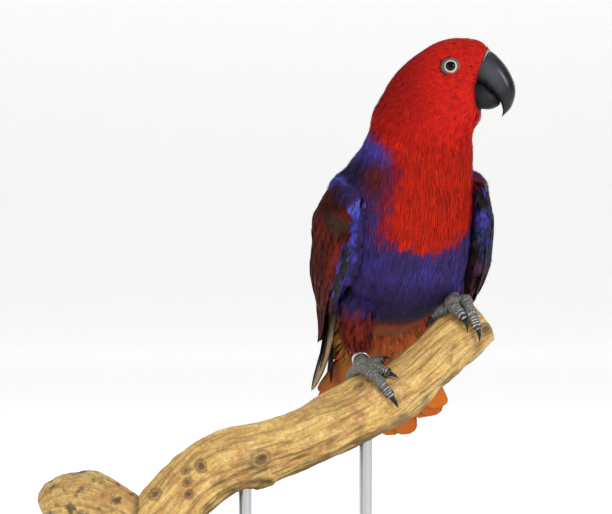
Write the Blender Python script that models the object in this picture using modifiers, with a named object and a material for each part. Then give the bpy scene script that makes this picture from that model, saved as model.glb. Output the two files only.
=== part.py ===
"""Eclectus parrot, an adult female, life size, still, on a cut length of branch held by a display stand.

Meshes are built in millimetres and scaled to metres when they become objects. X runs to the
right as the bird is seen from the front, Y runs away behind it, Z is up, and the origin is the
middle of the underside of the stand's base.
"""

import math
import random

import bmesh
import bpy
from mathutils import Matrix, Vector

MM = 0.001
GAP = 0.3
ROOM = 0.35
UP = Vector((0, 0, 1))

# Body: one row for each section, from the crown to the root of the tail.
# x, y, z of its middle, tilt of the spine back from upright, turn to the bird's left,
# half size across and half size from back to belly. On the head, across runs from nape to bill.
BODY = (
    (79.5, -9.5, 352.7, 0, -15, 4.5, 3.6),
    (79.5, -9.5, 350.8, 0, -15, 12.8, 9.6),
    (79.4, -9.5, 347.8, 0, -15, 19.2, 13.6),
    (78.9, -9.3, 343.3, 0, -15, 25.7, 17.0),
    (73.4, -8.9, 336.5, 0, -15, 28.8, 19.0),
    (68.4, -8.3, 328.0, 0, -15, 31.5, 20.4),
    (64.8, -7.7, 317.0, 0, -14, 34.3, 22.0),
    (60.8, -6.9, 308.0, 0, -10, 35.0, 24.0),
    (56.2, -5.5, 297.0, 2, -4, 32.6, 27.0),
    (53.4, -3.6, 285.0, 5, 5, 35.0, 31.0),
    (48.6, -1.0, 270.0, 11, 14, 39.8, 35.6),
    (45.6, 3.0, 247.0, 24, 20, 43.0, 39.5),
    (45.6, 22.0, 220.0, 41, 15, 41.5, 38.0),
    (39.5, 50.0, 199.0, 53, 8, 33.0, 28.0),
    (37.2, 78.0, 179.0, 52, 2, 19.0, 12.5),
    (37.4, 92.0, 168.0, 48, 1, 13.0, 7.0),
)
HEAD_ENDS = 7.0
NECK_ENDS = 9.3
TORSO_ENDS = 14.0
TAIL_ROOT = 1.0
HEAD_STEPS = 12
NECK_STEPS = 4
TORSO_STEPS = 12
TAIL_ROOT_STEPS = 2
SECTION_SIDES = 28
SECTION_POWER = 2.15

# Head: its upright middle plane, and what lies in it as distance forward and height.
HEAD_MIDDLE = Vector((72.0, -9.0, 0))
HEAD_TURN = math.radians(-15)
FORWARD = Vector((math.cos(HEAD_TURN), math.sin(HEAD_TURN), 0))
RIGHT_SIDE = Vector((math.sin(HEAD_TURN), -math.cos(HEAD_TURN), 0))
CULMEN = (
    (28.0, 344.5), (33.7, 339.2), (38.2, 332.9), (41.3, 326.1),
    (42.3, 320.6), (41.5, 315.1), (39.1, 309.6), (34.3, 304.8),
)
UPPER_EDGE = (
    (22.6, 323.3), (25.8, 321.2), (28.6, 318.8), (31.2, 316.2),
    (33.3, 313.5), (34.3, 310.8), (34.7, 307.9), (34.0, 304.4),
)
UPPER_HALF_WIDTHS = (9.4, 9.4, 8.7, 7.6, 6.3, 4.8, 3.0, 0.5)
LOWER_TOP = ((22.6, 322.6), (25.4, 320.5), (28.3, 318.1), (30.8, 315.5), (32.7, 313.0))
LOWER_BOTTOM = ((22.9, 309.5), (26.1, 309.4), (29.0, 310.1), (31.5, 311.3), (32.8, 312.4))
LOWER_HALF_WIDTHS = (8.8, 8.3, 7.0, 4.8, 1.5)
EYE_HEIGHT = 334.6
EYE_FORWARD = 5.8
EYE_RADIUS = 5.6
EYE_OPENING = 4.4
LID_THICKNESS = 0.8
NOSTRIL_RADIUS = 1.1

# Wings: the lower front edge and the edge along the back, from the shoulder to the tip.
RIGHT_WING_LOWER = (
    (18.5, -36, 252), (16, -31, 232), (13, -18, 214), (8, -1, 201),
    (3, 24, 187), (-3, 56, 167), (-10, 92, 148), (-15.5, 125, 129),
)
RIGHT_WING_BACK = (
    (16, 12, 277), (24, 36, 262), (30, 55, 243), (30, 72, 221),
    (27, 88, 198), (16, 104, 174), (1, 116, 151), (-15.5, 125, 129),
)
LEFT_WING_LOWER = (
    (95, -10, 260), (96, -9, 241), (95.5, 1, 224), (94, 13, 208),
    (91, 30, 195), (85, 58, 178), (79, 94, 160), (72, 132, 140),
)
LEFT_WING_BACK = (
    (72, 26, 280), (58, 45, 263), (50, 60, 243), (46, 76, 221),
    (47, 92, 200), (54, 108, 179), (64, 121, 158), (72, 132, 140),
)
RIGHT_WING_BULGE = (15, 28.5, 31.5, 30, 22.5, 11, 4, 1.5)
LEFT_WING_BULGE = (13, 24, 30, 31, 25, 12, 5, 1.5)
WING_DEPTH = (14, 21, 25, 23, 16, 6, 2.4, 1.4)
WING_CORE_ENDS = 0.64
VANE_THICKNESS = 0.6
LONG_VANE = ((0.0, 0.5), (0.35, 0.95), (0.82, 0.9), (1.0, 0.35))
SHORT_VANE = ((0.0, 0.6), (0.4, 1.0), (0.8, 0.9), (1.0, 0.4))
ROOT_SINKS = 2.0
SHINGLE = math.radians(6)

# Each tier of wing feathers: where its roots and tips lie along the wing, where its first and last
# feather lie across it, how many there are, their width and their height over the wing.
WING_TIERS = (
    (0.40, 0.72, 0.20, 0.95, 7, 13.0, 1.6),
    (0.27, 0.50, 0.06, 0.95, 7, 15.0, 1.9),
    (0.16, 0.34, 0.06, 0.95, 7, 17.0, 1.9),
    (0.06, 0.22, 0.07, 0.94, 6, 18.5, 1.9),
)
PRIMARIES = 7
PRIMARY_ROOTS = 0.46
PRIMARY_WIDTH = 12.0
PRIMARY_STACK = 0.95
PRIMARY_STEP = 0.032

# Tail: the middle of its root, its run, and the fan of its feathers.
TAIL_RUN = Vector((0.015, 0.69, -0.723)).normalized()
TAIL_FEATHERS = 12
TAIL_LENGTH = 117
TAIL_SHORTER_OUTSIDE = 33
TAIL_SPREAD = math.radians(24)
TAIL_VANE_WIDTH = 17.0
TAIL_STACK = 0.95
TAIL_VANE_ROOT = 4.0
TAIL_ROOT_SPREAD = 6.0
TAIL_COVERTS = 5
TAIL_COVERT_LENGTH = 52
TAIL_COVERT_HEIGHT = 2.8
TAIL_COVERT_SPREAD = math.radians(15)

# Legs: thigh rows are x, y, z and radius, from inside the belly to the ankle.
THIGH_RIGHT = ((30, 26, 206, 14), (21, 19, 190, 13.5), (16.5, 14.5, 177, 11.5), (17.2, 11.5, 165, 9.0),
               (19.0, 7.5, 157.5, 5.6))
THIGH_LEFT = ((64, 30, 218, 14), (69, 25, 208, 13), (74, 20, 200.5, 10.5), (77, 15.5, 195.5, 6.5))
TARSUS_RADIUS = 3.9
PALM_RADIUS = 5.6
TOE_RADII = (4.2, 3.0)
TOE_STEPS = 7
CLAW_RADIUS = 1.9
TARSUS_FLARE = 1.06
BAND_OUTER = 5.7
BAND_HEIGHT = 4.0
BAND_PLACE = 0.58

# Each toe: from and to place along the branch, from and to turn round it (0 on top, 90 in front),
# and how far its claw goes on along and round.
RIGHT_TOES = (
    (30.0, 14, 34.0, 84, 1.0, 24),
    (33.0, 14, 40.5, 48, 3.0, 14),
    (34.0, -8, 45.0, -16, 5.0, -2),
    (26.0, -26, 21.0, -80, -2.0, -26),
)
LEFT_TOES = (
    (86.5, 12, 84.5, 52, -3.0, 26),
    (94.0, 8, 88.0, 84, -3.0, 24),
    (84.0, -8, 77.0, -18, -5.5, -6),
    (88.0, -24, 88.0, -80, 0.5, -28),
)
RIGHT_PALM_AT = 30.5
LEFT_PALM_AT = 88.0

# Perch: x, y, z and radius along the cut branch, from its low end to its high end.
BRANCH = (
    (-112.0, -37, 46.0, 19.0), (-102.0, -35, 60.0, 19.0), (-89.0, -31, 76.0, 19.2), (-72.5, -27, 89.5, 19.8),
    (-54.6, -23, 96.0, 19.6), (-25.0, -16, 104.5, 17.8), (-8.7, -12, 111.8, 18.4), (22.3, -5, 125.6, 19.3),
    (47.1, 0, 139.6, 17.4), (74.4, 5, 163.4, 16.0), (86.0, 8, 171.5, 15.2), (95.5, 10, 178.0, 13.6),
)
BRANCH_SIDES = 18
BRANCH_STEPS = 24
KNOB = (
    (-113.0, -37, 52.0, 12.0), (-122.0, -37, 60.0, 14.0), (-136.5, -36, 67.5, 17.5), (-151.0, -35, 71.0, 18.5),
    (-165.0, -35, 69.0, 16.0), (-174.0, -35, 65.0, 8.0),
)

# Stand: a flat base and two rods that enter sockets in the underside of the branch.
BASE_SIZE = (210.0, 150.0, 12.0)
BASE_ROUND = 2.0
ROD_RADIUS = 4.0
ROD_PLACES = ((-52.0, -22.4), (22.0, -5.1))
ROD_SINKS = 8.0
FOOT_SINKS = 6.0


def curve_at(rows, place):
    """The smooth curve through the rows, read at a place from 0 to the last row's number."""
    last = len(rows) - 1
    place = min(max(place, 0.0), float(last))
    step = min(int(place), last - 1)
    t = place - step
    before = rows[max(step - 1, 0)]
    start = rows[step]
    end = rows[step + 1]
    after = rows[min(step + 2, last)]
    values = []
    for a, b, c, d in zip(before, start, end, after):
        values.append(0.5 * (2 * b + (c - a) * t + (2 * a - 5 * b + 4 * c - d) * t * t
                             + (3 * b - a - 3 * c + d) * t ** 3))
    return values


def number_at(values, share):
    """The smooth curve through single numbers, read at a share of its length."""
    return curve_at([(value,) for value in values], share * (len(values) - 1))[0]


def new_object(name, mesh_data, collection):
    """Turns a millimetre mesh into an object in metres."""
    bmesh.ops.transform(mesh_data, matrix=Matrix.Scale(MM, 4), verts=mesh_data.verts)
    bmesh.ops.recalc_face_normals(mesh_data, faces=mesh_data.faces)
    mesh = bpy.data.meshes.new(name)
    mesh_data.to_mesh(mesh)
    mesh_data.free()
    made = bpy.data.objects.new(name, mesh)
    collection.objects.link(made)
    return made


def loft(name, rings, collection):
    """A closed solid through rings of equally many points, with flat ends."""
    shape = bmesh.new()
    rows = [[shape.verts.new(point) for point in ring] for ring in rings]
    sides = len(rows[0])
    for lower, upper in zip(rows, rows[1:]):
        for i in range(sides):
            j = (i + 1) % sides
            shape.faces.new((lower[i], lower[j], upper[j]))
            shape.faces.new((lower[i], upper[j], upper[i]))
    shape.faces.new(rows[0])
    shape.faces.new(rows[-1])
    bmesh.ops.triangulate(shape, faces=[face for face in shape.faces if len(face.verts) > 3])
    return new_object(name, shape, collection)


def ellipse(middle, first, second, sides, power=2.0):
    """A ring of points round a middle, squarer than an ellipse where the power is over 2."""
    ring = []
    for i in range(sides):
        turn = 2 * math.pi * i / sides
        c = math.cos(turn)
        s = math.sin(turn)
        ring.append(middle + first * math.copysign(abs(c) ** (2 / power), c)
                    + second * math.copysign(abs(s) ** (2 / power), s))
    return ring


def tube(name, places, radii, sides, collection, first_run=None):
    """A round solid along a path, with a radius at each of its points."""
    rings = []
    for i, place in enumerate(places):
        run = (places[min(i + 1, len(places) - 1)] - places[max(i - 1, 0)]).normalized()
        if i == 0 and first_run:
            run = first_run
        first = run.cross(Vector((0.31, -0.9, 0.3))).normalized()
        second = run.cross(first)
        rings.append(ellipse(place, first * radii[i], second * radii[i], sides))
    return loft(name, rings, collection)


def sphere(name, middle, radius, collection, across=16, rings=10):
    shape = bmesh.new()
    bmesh.ops.create_uvsphere(shape, u_segments=across, v_segments=rings, radius=radius,
                              matrix=Matrix.Translation(middle))
    return new_object(name, shape, collection)


def largest_surface(made):
    """Keeps only the largest closed surface of a node."""
    shape = bmesh.new()
    shape.from_mesh(made.data)
    left = set(shape.faces)
    groups = []
    while left:
        group = {left.pop()}
        edge_of_group = list(group)
        while edge_of_group:
            face = edge_of_group.pop()
            for edge in face.edges:
                for other in edge.link_faces:
                    if other in left:
                        left.discard(other)
                        group.add(other)
                        edge_of_group.append(other)
        groups.append(group)
    groups.sort(key=lambda group: sum(face.calc_area() for face in group))
    for group in groups[:-1]:
        bmesh.ops.delete(shape, geom=list(group), context="FACES")
    shape.to_mesh(made.data)
    shape.free()


def boolean(made, pieces, operation, solver="EXACT"):
    """Joins pieces to a node or cuts them from it, all at once, and removes them."""
    group = bpy.data.collections.new("pieces")
    bpy.context.scene.collection.children.link(group)
    for piece in pieces:
        group.objects.link(piece)
    step = made.modifiers.new("step", "BOOLEAN")
    step.operation = operation
    step.operand_type = "COLLECTION"
    step.collection = group
    step.solver = solver
    bpy.context.view_layer.update()
    seen = made.evaluated_get(bpy.context.evaluated_depsgraph_get())
    result = bpy.data.meshes.new_from_object(seen)
    made.modifiers.clear()
    made.data = result
    for piece in list(group.objects):
        bpy.data.objects.remove(piece)
    bpy.data.collections.remove(group)
    largest_surface(made)


def body_section(place, grow=0.0, along=0.0, sides=SECTION_SIDES):
    """The ring of the body at a place down its rows, made larger or moved along the spine."""
    x, y, z, tilt, turn, half_across, half_deep = curve_at(BODY, place)
    tilt = math.radians(tilt)
    turn = math.radians(turn)
    across = Vector((math.cos(turn), math.sin(turn), 0))
    back = Vector((-math.sin(turn), math.cos(turn), 0))
    belly = -back * math.cos(tilt) - UP * math.sin(tilt)
    down = back * math.sin(tilt) - UP * math.cos(tilt)
    middle = Vector((x, y, z)) + down * along
    return ellipse(middle, across * (half_across + grow), belly * (half_deep + grow), sides, SECTION_POWER)


def body_length(name, start, end, steps, collection, inset=(0.0, 0.0)):
    """One length of the body between two places, its ends moved in so that neighbours keep their gap."""
    rings = []
    for i in range(steps + 1):
        along = inset[0] if i == 0 else (-inset[1] if i == steps else 0.0)
        rings.append(body_section(start + (end - start) * i / steps, 0.0, along))
    return loft(name, rings, collection)


def body_room(cutters):
    """The body from the neck to the tail, a gap larger, with its sections where the body has them."""
    places = [HEAD_ENDS + (NECK_ENDS - HEAD_ENDS) * i / NECK_STEPS for i in range(NECK_STEPS)]
    places += [NECK_ENDS + (TORSO_ENDS - NECK_ENDS) * i / TORSO_STEPS for i in range(TORSO_STEPS)]
    places += [TORSO_ENDS + TAIL_ROOT * i / TAIL_ROOT_STEPS for i in range(TAIL_ROOT_STEPS + 1)]
    return loft("body_room", [body_section(place, ROOM) for place in places], cutters)


def head_point(forward, height, right=0.0):
    return HEAD_MIDDLE + FORWARD * forward + UP * height + RIGHT_SIDE * right


def eye_place(side):
    """The middle of the opening between the lids, and the way the eye looks; side is 1 on the right."""
    rows = [row for row in BODY if row[2] > 300]
    place = 0.0
    while curve_at(rows, place)[2] > EYE_HEIGHT:
        place += 0.01
    x, y, z, _, _, length, width = curve_at(rows, place)
    share = EYE_FORWARD / length
    out = width * math.sqrt(1 - share * share) - 0.5
    middle = Vector((x, y, z)) + FORWARD * EYE_FORWARD + RIGHT_SIDE * out * side
    look = (RIGHT_SIDE * side + FORWARD * 0.16 + UP * 0.08).normalized()
    return middle, look


def eye_middle(side):
    middle, look = eye_place(side)
    return middle - look * math.sqrt(EYE_RADIUS ** 2 - EYE_OPENING ** 2)


def make_lids(side, collection):
    """The swollen rim round the opening, as a ring of round section."""
    middle, look = eye_place(side)
    first = look.cross(UP).normalized()
    second = look.cross(first)
    shape = bmesh.new()
    rings = []
    round_eye = 16
    for i in range(round_eye):
        turn = 2 * math.pi * i / round_eye
        out = first * math.cos(turn) + second * math.sin(turn)
        centre = middle + out * (EYE_OPENING + LID_THICKNESS * 0.9)
        rings.append([shape.verts.new(point) for point in ellipse(
            centre, out * LID_THICKNESS * 1.3, look * LID_THICKNESS, 5)])
    for i in range(round_eye):
        for j in range(5):
            k = (i + 1) % round_eye
            m = (j + 1) % 5
            shape.faces.new((rings[i][j], rings[k][j], rings[k][m], rings[i][m]))
    return new_object("lids", shape, collection)


def make_bill_bed(collection):
    """What the head's front is cut away by, so that the two halves of the bill meet it flat."""
    outline = ((28.6, 347.5), (22.3, 323.2), (22.6, 309.0), (23.2, 307.6), (60.0, 307.6), (60.0, 347.5))
    rings = []
    for side in (-26.0, 26.0):
        rings.append([head_point(forward, height, side) for forward, height in outline])
    return loft("bill_bed", rings, collection)


def make_head(parts, cutters):
    head = body_length("head", 0.0, HEAD_ENDS, HEAD_STEPS, parts, (0.0, GAP / 2))
    boolean(head, [make_lids(1, cutters), make_lids(-1, cutters)], "UNION")
    sockets = [sphere("socket", eye_middle(side), EYE_RADIUS + GAP, cutters) for side in (1, -1)]
    nostrils = [sphere("nostril", head_point(25.6, 342.6, side * 6.6), NOSTRIL_RADIUS, cutters, 8, 6)
                for side in (1, -1)]
    boolean(head, sockets + nostrils + [make_bill_bed(cutters)], "DIFFERENCE")
    return head


def bill_half(name, tops, bottoms, half_widths, parts, power):
    """A half of the bill from its upper and lower outline and its width at each of their points."""
    rings = []
    steps = (len(tops) - 1) * 2
    for i in range(steps + 1):
        place = i / 2
        top_forward, top_height = curve_at(tops, place)
        low_forward, low_height = curve_at(bottoms, place)
        half = curve_at([(width,) for width in half_widths], place)[0]
        top = head_point(top_forward, top_height)
        low = head_point(low_forward, low_height)
        rings.append(ellipse((top + low) / 2, (top - low) / 2, RIGHT_SIDE * half, 16, power))
    return loft(name, rings, parts)


def make_eye(name, side, parts):
    return sphere(name, eye_middle(side), EYE_RADIUS, parts)


def vane(places, normals, outline, width, roll, collection):
    """One feather: a flat, tapering strip along its places, both faces split into triangles alike."""
    shape = bmesh.new()
    rows = []
    for i, (_, wide) in enumerate(outline):
        run = (places[min(i + 1, len(places) - 1)] - places[max(i - 1, 0)]).normalized()
        side = normals[i].cross(run).normalized()
        side = Matrix.Rotation(roll, 3, run) @ side
        top = run.cross(side).normalized() * VANE_THICKNESS / 2
        edge = side * width * wide / 2
        rows.append([shape.verts.new(places[i] + corner) for corner in (
            top - edge, top + edge, edge - top, -edge - top)])
    for low, high in zip(rows, rows[1:]):
        for a, b in ((0, 1), (1, 2), (3, 0)):
            shape.faces.new((low[a], low[b], high[b]))
            shape.faces.new((low[a], high[b], high[a]))
        shape.faces.new((low[3], high[2], low[2]))
        shape.faces.new((low[3], high[3], high[2]))
    shape.faces.new(rows[0])
    shape.faces.new(rows[-1])
    bmesh.ops.triangulate(shape, faces=[face for face in shape.faces if len(face.verts) > 3])
    return new_object("vane", shape, collection)


def wing_vane(wing, root, tip, outline, width, heights, roll, collection):
    """A feather on the wing, from its root to its tip, each a place along and across it; its heights
    over the wing are at the root, where it comes out, and at the tip."""
    places = []
    normals = []
    for i, (share, _) in enumerate(outline):
        along = root[0] + (tip[0] - root[0]) * share
        across = root[1] + (tip[1] - root[1]) * share
        height = heights[0] if i == 0 else heights[1] + (heights[2] - heights[1]) * share
        normal = wing.normal(along, across)
        places.append(wing.point(along, across) + normal * height)
        normals.append(normal)
    return vane(places, normals, outline, width, roll, collection)


def wing_vanes(wing, collection):
    """All the large feathers of a wing, from the longest to the smallest coverts."""
    made = []
    for i in range(PRIMARIES):
        share = i / (PRIMARIES - 1)
        under = -PRIMARY_STACK * (PRIMARIES - 1 - i)
        root = (PRIMARY_ROOTS, 0.10 + 0.6 * share)
        tip = (1.0 - PRIMARY_STEP * i * (1 + 0.12 * i), 0.2 + 0.6 * share)
        made.append(wing_vane(wing, root, tip, LONG_VANE, PRIMARY_WIDTH, (under - 1.2, under - 1.0, under * 0.8),
                              0.0, collection))
    for start, end, first, last, count, width, height in WING_TIERS:
        for i in range(count):
            across = first + (last - first) * i / (count - 1)
            reach = (end - start) * random.uniform(0.95, 1.05)
            lean = random.uniform(-0.008, 0.008)
            made.append(wing_vane(wing, (start, across), (start + reach, across + lean), SHORT_VANE, width,
                                  (-ROOT_SINKS, 0.2, height), SHINGLE * wing.side, collection))
    return made


class Wing:
    """The outer surface of a folded wing, from 0 at the shoulder to 1 at the tip and from 0 at its
    lower front edge to 1 along the back."""

    def __init__(self, lower, back, bulge, side):
        self.lower = lower
        self.back = back
        self.bulge = bulge
        self.side = side

    def point(self, along, across):
        place = along * (len(self.lower) - 1)
        lower = Vector(curve_at(self.lower, place))
        back = Vector(curve_at(self.back, place))
        chord = self.chord(place)
        out = Vector((-chord.y, chord.x, 0)).normalized() * self.side
        arch = math.sin(math.pi * min(max(across, 0.0), 1.0)) ** 0.85
        return lower.lerp(back, across) + out * number_at(self.bulge, along) * arch

    def chord(self, place):
        """The level run from the lower edge to the back one, taken before they meet at the tip."""
        place = min(place, len(self.lower) - 2.2)
        return Vector(curve_at(self.back, place)) - Vector(curve_at(self.lower, place))

    def normal(self, along, across):
        step = 0.004
        run = self.point(min(along + step, 1.0), across) - self.point(along - step, across)
        over = self.point(along, min(across + step, 1.0)) - self.point(along, max(across - step, 0.0))
        normal = over.cross(run) * self.side
        chord = self.chord(along * (len(self.lower) - 1))
        out = Vector((-chord.y, chord.x, 0)).normalized() * self.side
        if normal.length < 1e-6:
            return out
        normal.normalize()
        return normal if normal.dot(out) > -0.2 else -normal


def wing_core(name, wing, end, collection, rows=9, columns=7):
    """The wing's arm and skin: a curved plate, thick beside the body, to be cut back to it."""
    shape = bmesh.new()
    outer = []
    inner = []
    for i in range(rows + 1):
        along = end * i / rows
        outer_row = []
        inner_row = []
        for j in range(columns + 1):
            across = j / columns
            place = wing.point(along, across)
            chord = wing.chord(along * (len(wing.lower) - 1))
            out = Vector((-chord.y, chord.x, 0)).normalized() * wing.side
            depth = number_at(WING_DEPTH, along) * (0.2 + 0.8 * math.sin(math.pi * across))
            outer_row.append(shape.verts.new(place))
            inner_row.append(shape.verts.new(place - out * max(depth, 1.2)))
        outer.append(outer_row)
        inner.append(inner_row)
    for i in range(rows):
        for j in range(columns):
            for face in ((outer, inner) if wing.side > 0 else (inner, outer)):
                a, b, c, d = face[i][j], face[i][j + 1], face[i + 1][j + 1], face[i + 1][j]
                shape.faces.new((a, b, c))
                shape.faces.new((a, c, d))
    rim = []
    rim += [(outer[0][j], inner[0][j]) for j in range(columns)]
    rim += [(outer[i][columns], inner[i][columns]) for i in range(rows)]
    rim += [(outer[rows][j], inner[rows][j]) for j in range(columns, 0, -1)]
    rim += [(outer[i][0], inner[i][0]) for i in range(rows, 0, -1)]
    for (a, b), (c, d) in zip(rim, rim[1:] + rim[:1]):
        shape.faces.new((a, c, d))
        shape.faces.new((a, d, b))
    return new_object(name, shape, collection)


def make_wing(name, wing, thigh_rows, parts, cutters):
    made = wing_core(name, wing, WING_CORE_ENDS, parts)
    boolean(made, wing_vanes(wing, cutters), "UNION", "MANIFOLD")
    boolean(made, [body_room(cutters)], "DIFFERENCE")
    boolean(made, [make_thigh("thigh_room", thigh_rows, cutters, ROOM)], "DIFFERENCE")
    return made


def tail_frame():
    x, y, z, _, turn, _, _ = curve_at(BODY, TORSO_ENDS)
    across = Vector((math.cos(math.radians(turn)), math.sin(math.radians(turn)), 0))
    return Vector((x, y, z)), across, TAIL_RUN.cross(-across).normalized()


def tail_vane(place, spread, outline, length, height, width, collection):
    """A feather of the tail: place runs from -1 to 1 across the fan, height is over its middle."""
    root, across, top = tail_frame()
    turn = spread * place
    run = TAIL_RUN * math.cos(turn) + across * math.sin(turn)
    start = root + TAIL_RUN * TAIL_VANE_ROOT + across * TAIL_ROOT_SPREAD * place + top * height
    places = [start + run * (length - TAIL_VANE_ROOT) * share for share, _ in outline]
    return vane(places, [top] * len(outline), outline, width, 0.0, collection)


def make_tail(parts, cutters):
    """A short root that carries on the body, and the fan of feathers with its coverts."""
    tail = body_length("tail", TORSO_ENDS, TORSO_ENDS + TAIL_ROOT, TAIL_ROOT_STEPS, parts, (GAP / 2, 0.0))
    vanes = []
    for i in range(TAIL_FEATHERS):
        place = 2 * i / (TAIL_FEATHERS - 1) - 1
        length = TAIL_LENGTH - TAIL_SHORTER_OUTSIDE * place * place
        layer = TAIL_FEATHERS / 2 - abs(i - (TAIL_FEATHERS - 1) / 2)
        height = TAIL_STACK * (layer - 3.2) + (TAIL_STACK / 3 if place > 0 else 0)
        vanes.append(tail_vane(place, TAIL_SPREAD, LONG_VANE, length, height, TAIL_VANE_WIDTH, cutters))
    for side in (1, -1):
        for i in range(TAIL_COVERTS):
            place = 2 * i / (TAIL_COVERTS - 1) - 1
            length = TAIL_COVERT_LENGTH * random.uniform(0.94, 1.06) - 8 * place * place
            layer = TAIL_COVERTS / 2 - abs(i - (TAIL_COVERTS - 1) / 2) + (0.35 if place > 0 else 0)
            height = side * (TAIL_COVERT_HEIGHT + layer * TAIL_STACK * 0.9)
            vanes.append(tail_vane(place, TAIL_COVERT_SPREAD, SHORT_VANE, length, height, TAIL_VANE_WIDTH, cutters))
    boolean(tail, vanes, "UNION", "MANIFOLD")
    return tail


def make_thigh(name, rows, collection, grow=0.0):
    places = []
    radii = []
    steps = (len(rows) - 1) * 2
    for i in range(steps + 1):
        x, y, z, radius = curve_at(rows, i / 2)
        places.append(Vector((x, y, z)))
        radii.append(radius + grow)
    if grow:
        places[-1] = places[-1] + (places[-1] - places[-2]).normalized() * grow
    return tube(name, places, radii, 16, collection)


def branch_frame(x):
    """Middle, radius and run of the branch where it passes x."""
    low = 0.0
    high = len(BRANCH) - 1.0
    for _ in range(30):
        middle = (low + high) / 2
        if curve_at(BRANCH, middle)[0] < x:
            low = middle
        else:
            high = middle
    here = curve_at(BRANCH, low)
    ahead = Vector(curve_at(BRANCH, min(low + 0.15, len(BRANCH) - 1))[:3])
    behind = Vector(curve_at(BRANCH, max(low - 0.15, 0))[:3])
    return Vector(here[:3]), here[3], (ahead - behind).normalized()


def on_branch(x, turn, height):
    """A point above the branch: turn is 0 on its top and 90 on the side the bird faces."""
    middle, radius, run = branch_frame(x)
    top = (UP - run * UP.dot(run)).normalized()
    front = run.cross(top)
    turn = math.radians(turn)
    return middle + (top * math.cos(turn) + front * math.sin(turn)) * (radius + height)


def toe_path(toe, shares, extra=0.0):
    """Points along a toe at shares of its length, over 1 in its claw."""
    x0, turn0, x1, turn1, claw_x, claw_turn = toe
    points = []
    for share in shares:
        if share <= 1:
            x = x0 + (x1 - x0) * share
            turn = turn0 + (turn1 - turn0) * share
            radius = TOE_RADII[0] + (TOE_RADII[1] - TOE_RADII[0]) * share
            height = radius + 0.45 + 0.5 * math.sin(math.pi * share)
        else:
            x = x1 + claw_x * (share - 1)
            turn = turn1 + claw_turn * (share - 1)
            height = TOE_RADII[1] + 0.45 + 1.7 * math.sin(math.pi * (share - 1)) * 0.6 - 2.2 * (share - 1) ** 2
        points.append(on_branch(x, turn, height + extra))
    return points


def palm_place(palm_at):
    return on_branch(palm_at, 2, PALM_RADIUS + 0.5)


def make_foot(name, toes, palm_at, ankle_rows, parts, cutters):
    """Palm, toes and the bare lower leg, cut clear of the feathered thigh."""
    palm = palm_place(palm_at)
    foot = sphere(name, palm, PALM_RADIUS, parts, 12, 8)
    ankle = Vector(ankle_rows[-1][:3])
    above = Vector(ankle_rows[-2][:3])
    inside = ankle + (above - ankle).normalized() * 4
    pieces = [tube("tarsus", [palm, palm.lerp(ankle, 0.5), ankle, inside],
                   [TARSUS_RADIUS * TARSUS_FLARE, TARSUS_RADIUS, TARSUS_RADIUS, TARSUS_RADIUS], 12, cutters)]
    for toe in toes:
        shares = [i / TOE_STEPS for i in range(TOE_STEPS + 1)]
        path = [palm.lerp(toe_path(toe, [0.0])[0], 0.3)] + toe_path(toe, shares)
        radii = [TOE_RADII[0]]
        for share in shares:
            pad = 1 + 0.07 * math.cos(2 * math.pi * share * 3)
            radii.append((TOE_RADII[0] + (TOE_RADII[1] - TOE_RADII[0]) * share) * pad - 0.12)
        pieces.append(tube("toe", path, radii, 8, cutters))
    boolean(foot, pieces, "UNION")
    boolean(foot, [make_thigh("thigh_room", ankle_rows, cutters, ROOM)], "DIFFERENCE")
    boolean(foot, [body_room(cutters)], "DIFFERENCE")
    return foot


def make_claws(side, toes, parts):
    for number, toe in enumerate(toes, 1):
        last = toe_path(toe, [1 - 1 / TOE_STEPS, 1.0])
        run = (last[1] - last[0]).normalized()
        shares = (1.0, 1.2, 1.4, 1.6, 1.8, 2.0)
        path = [point + run * ROOM for point in toe_path(toe, shares)]
        radii = [CLAW_RADIUS * (1 - 0.97 * ((share - 1) ** 1.2)) for share in shares]
        tube("claw_%s_%d" % (side, number), path, radii, 8, parts, run)


def make_band(name, grow, collection):
    """The ring that the bird wears on its right leg: a flat strip bent round and closed."""
    palm = palm_place(RIGHT_PALM_AT)
    ankle = Vector(THIGH_RIGHT[-1][:3])
    run = (ankle - palm).normalized()
    middle = palm.lerp(ankle, BAND_PLACE)
    inner = TARSUS_RADIUS * TARSUS_FLARE + GAP - grow
    outer = BAND_OUTER + grow
    half = BAND_HEIGHT / 2 + grow
    profile = bmesh.new()
    corners = [profile.verts.new(corner) for corner in (
        (inner, 0, -half), (outer, 0, -half), (outer, 0, half), (inner, 0, half))]
    for a, b in zip(corners, corners[1:] + corners[:1]):
        profile.edges.new((a, b))
    made = new_object(name, profile, collection)
    turned = made.modifiers.new("turned", "SCREW")
    turned.steps = 24
    turned.render_steps = 24
    turned.use_merge_vertices = True
    turned.merge_threshold = 0.00001
    turned.use_normal_flip = True
    made.location = middle * MM
    made.rotation_euler = run.to_track_quat("Z", "Y").to_euler()
    return made


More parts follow.
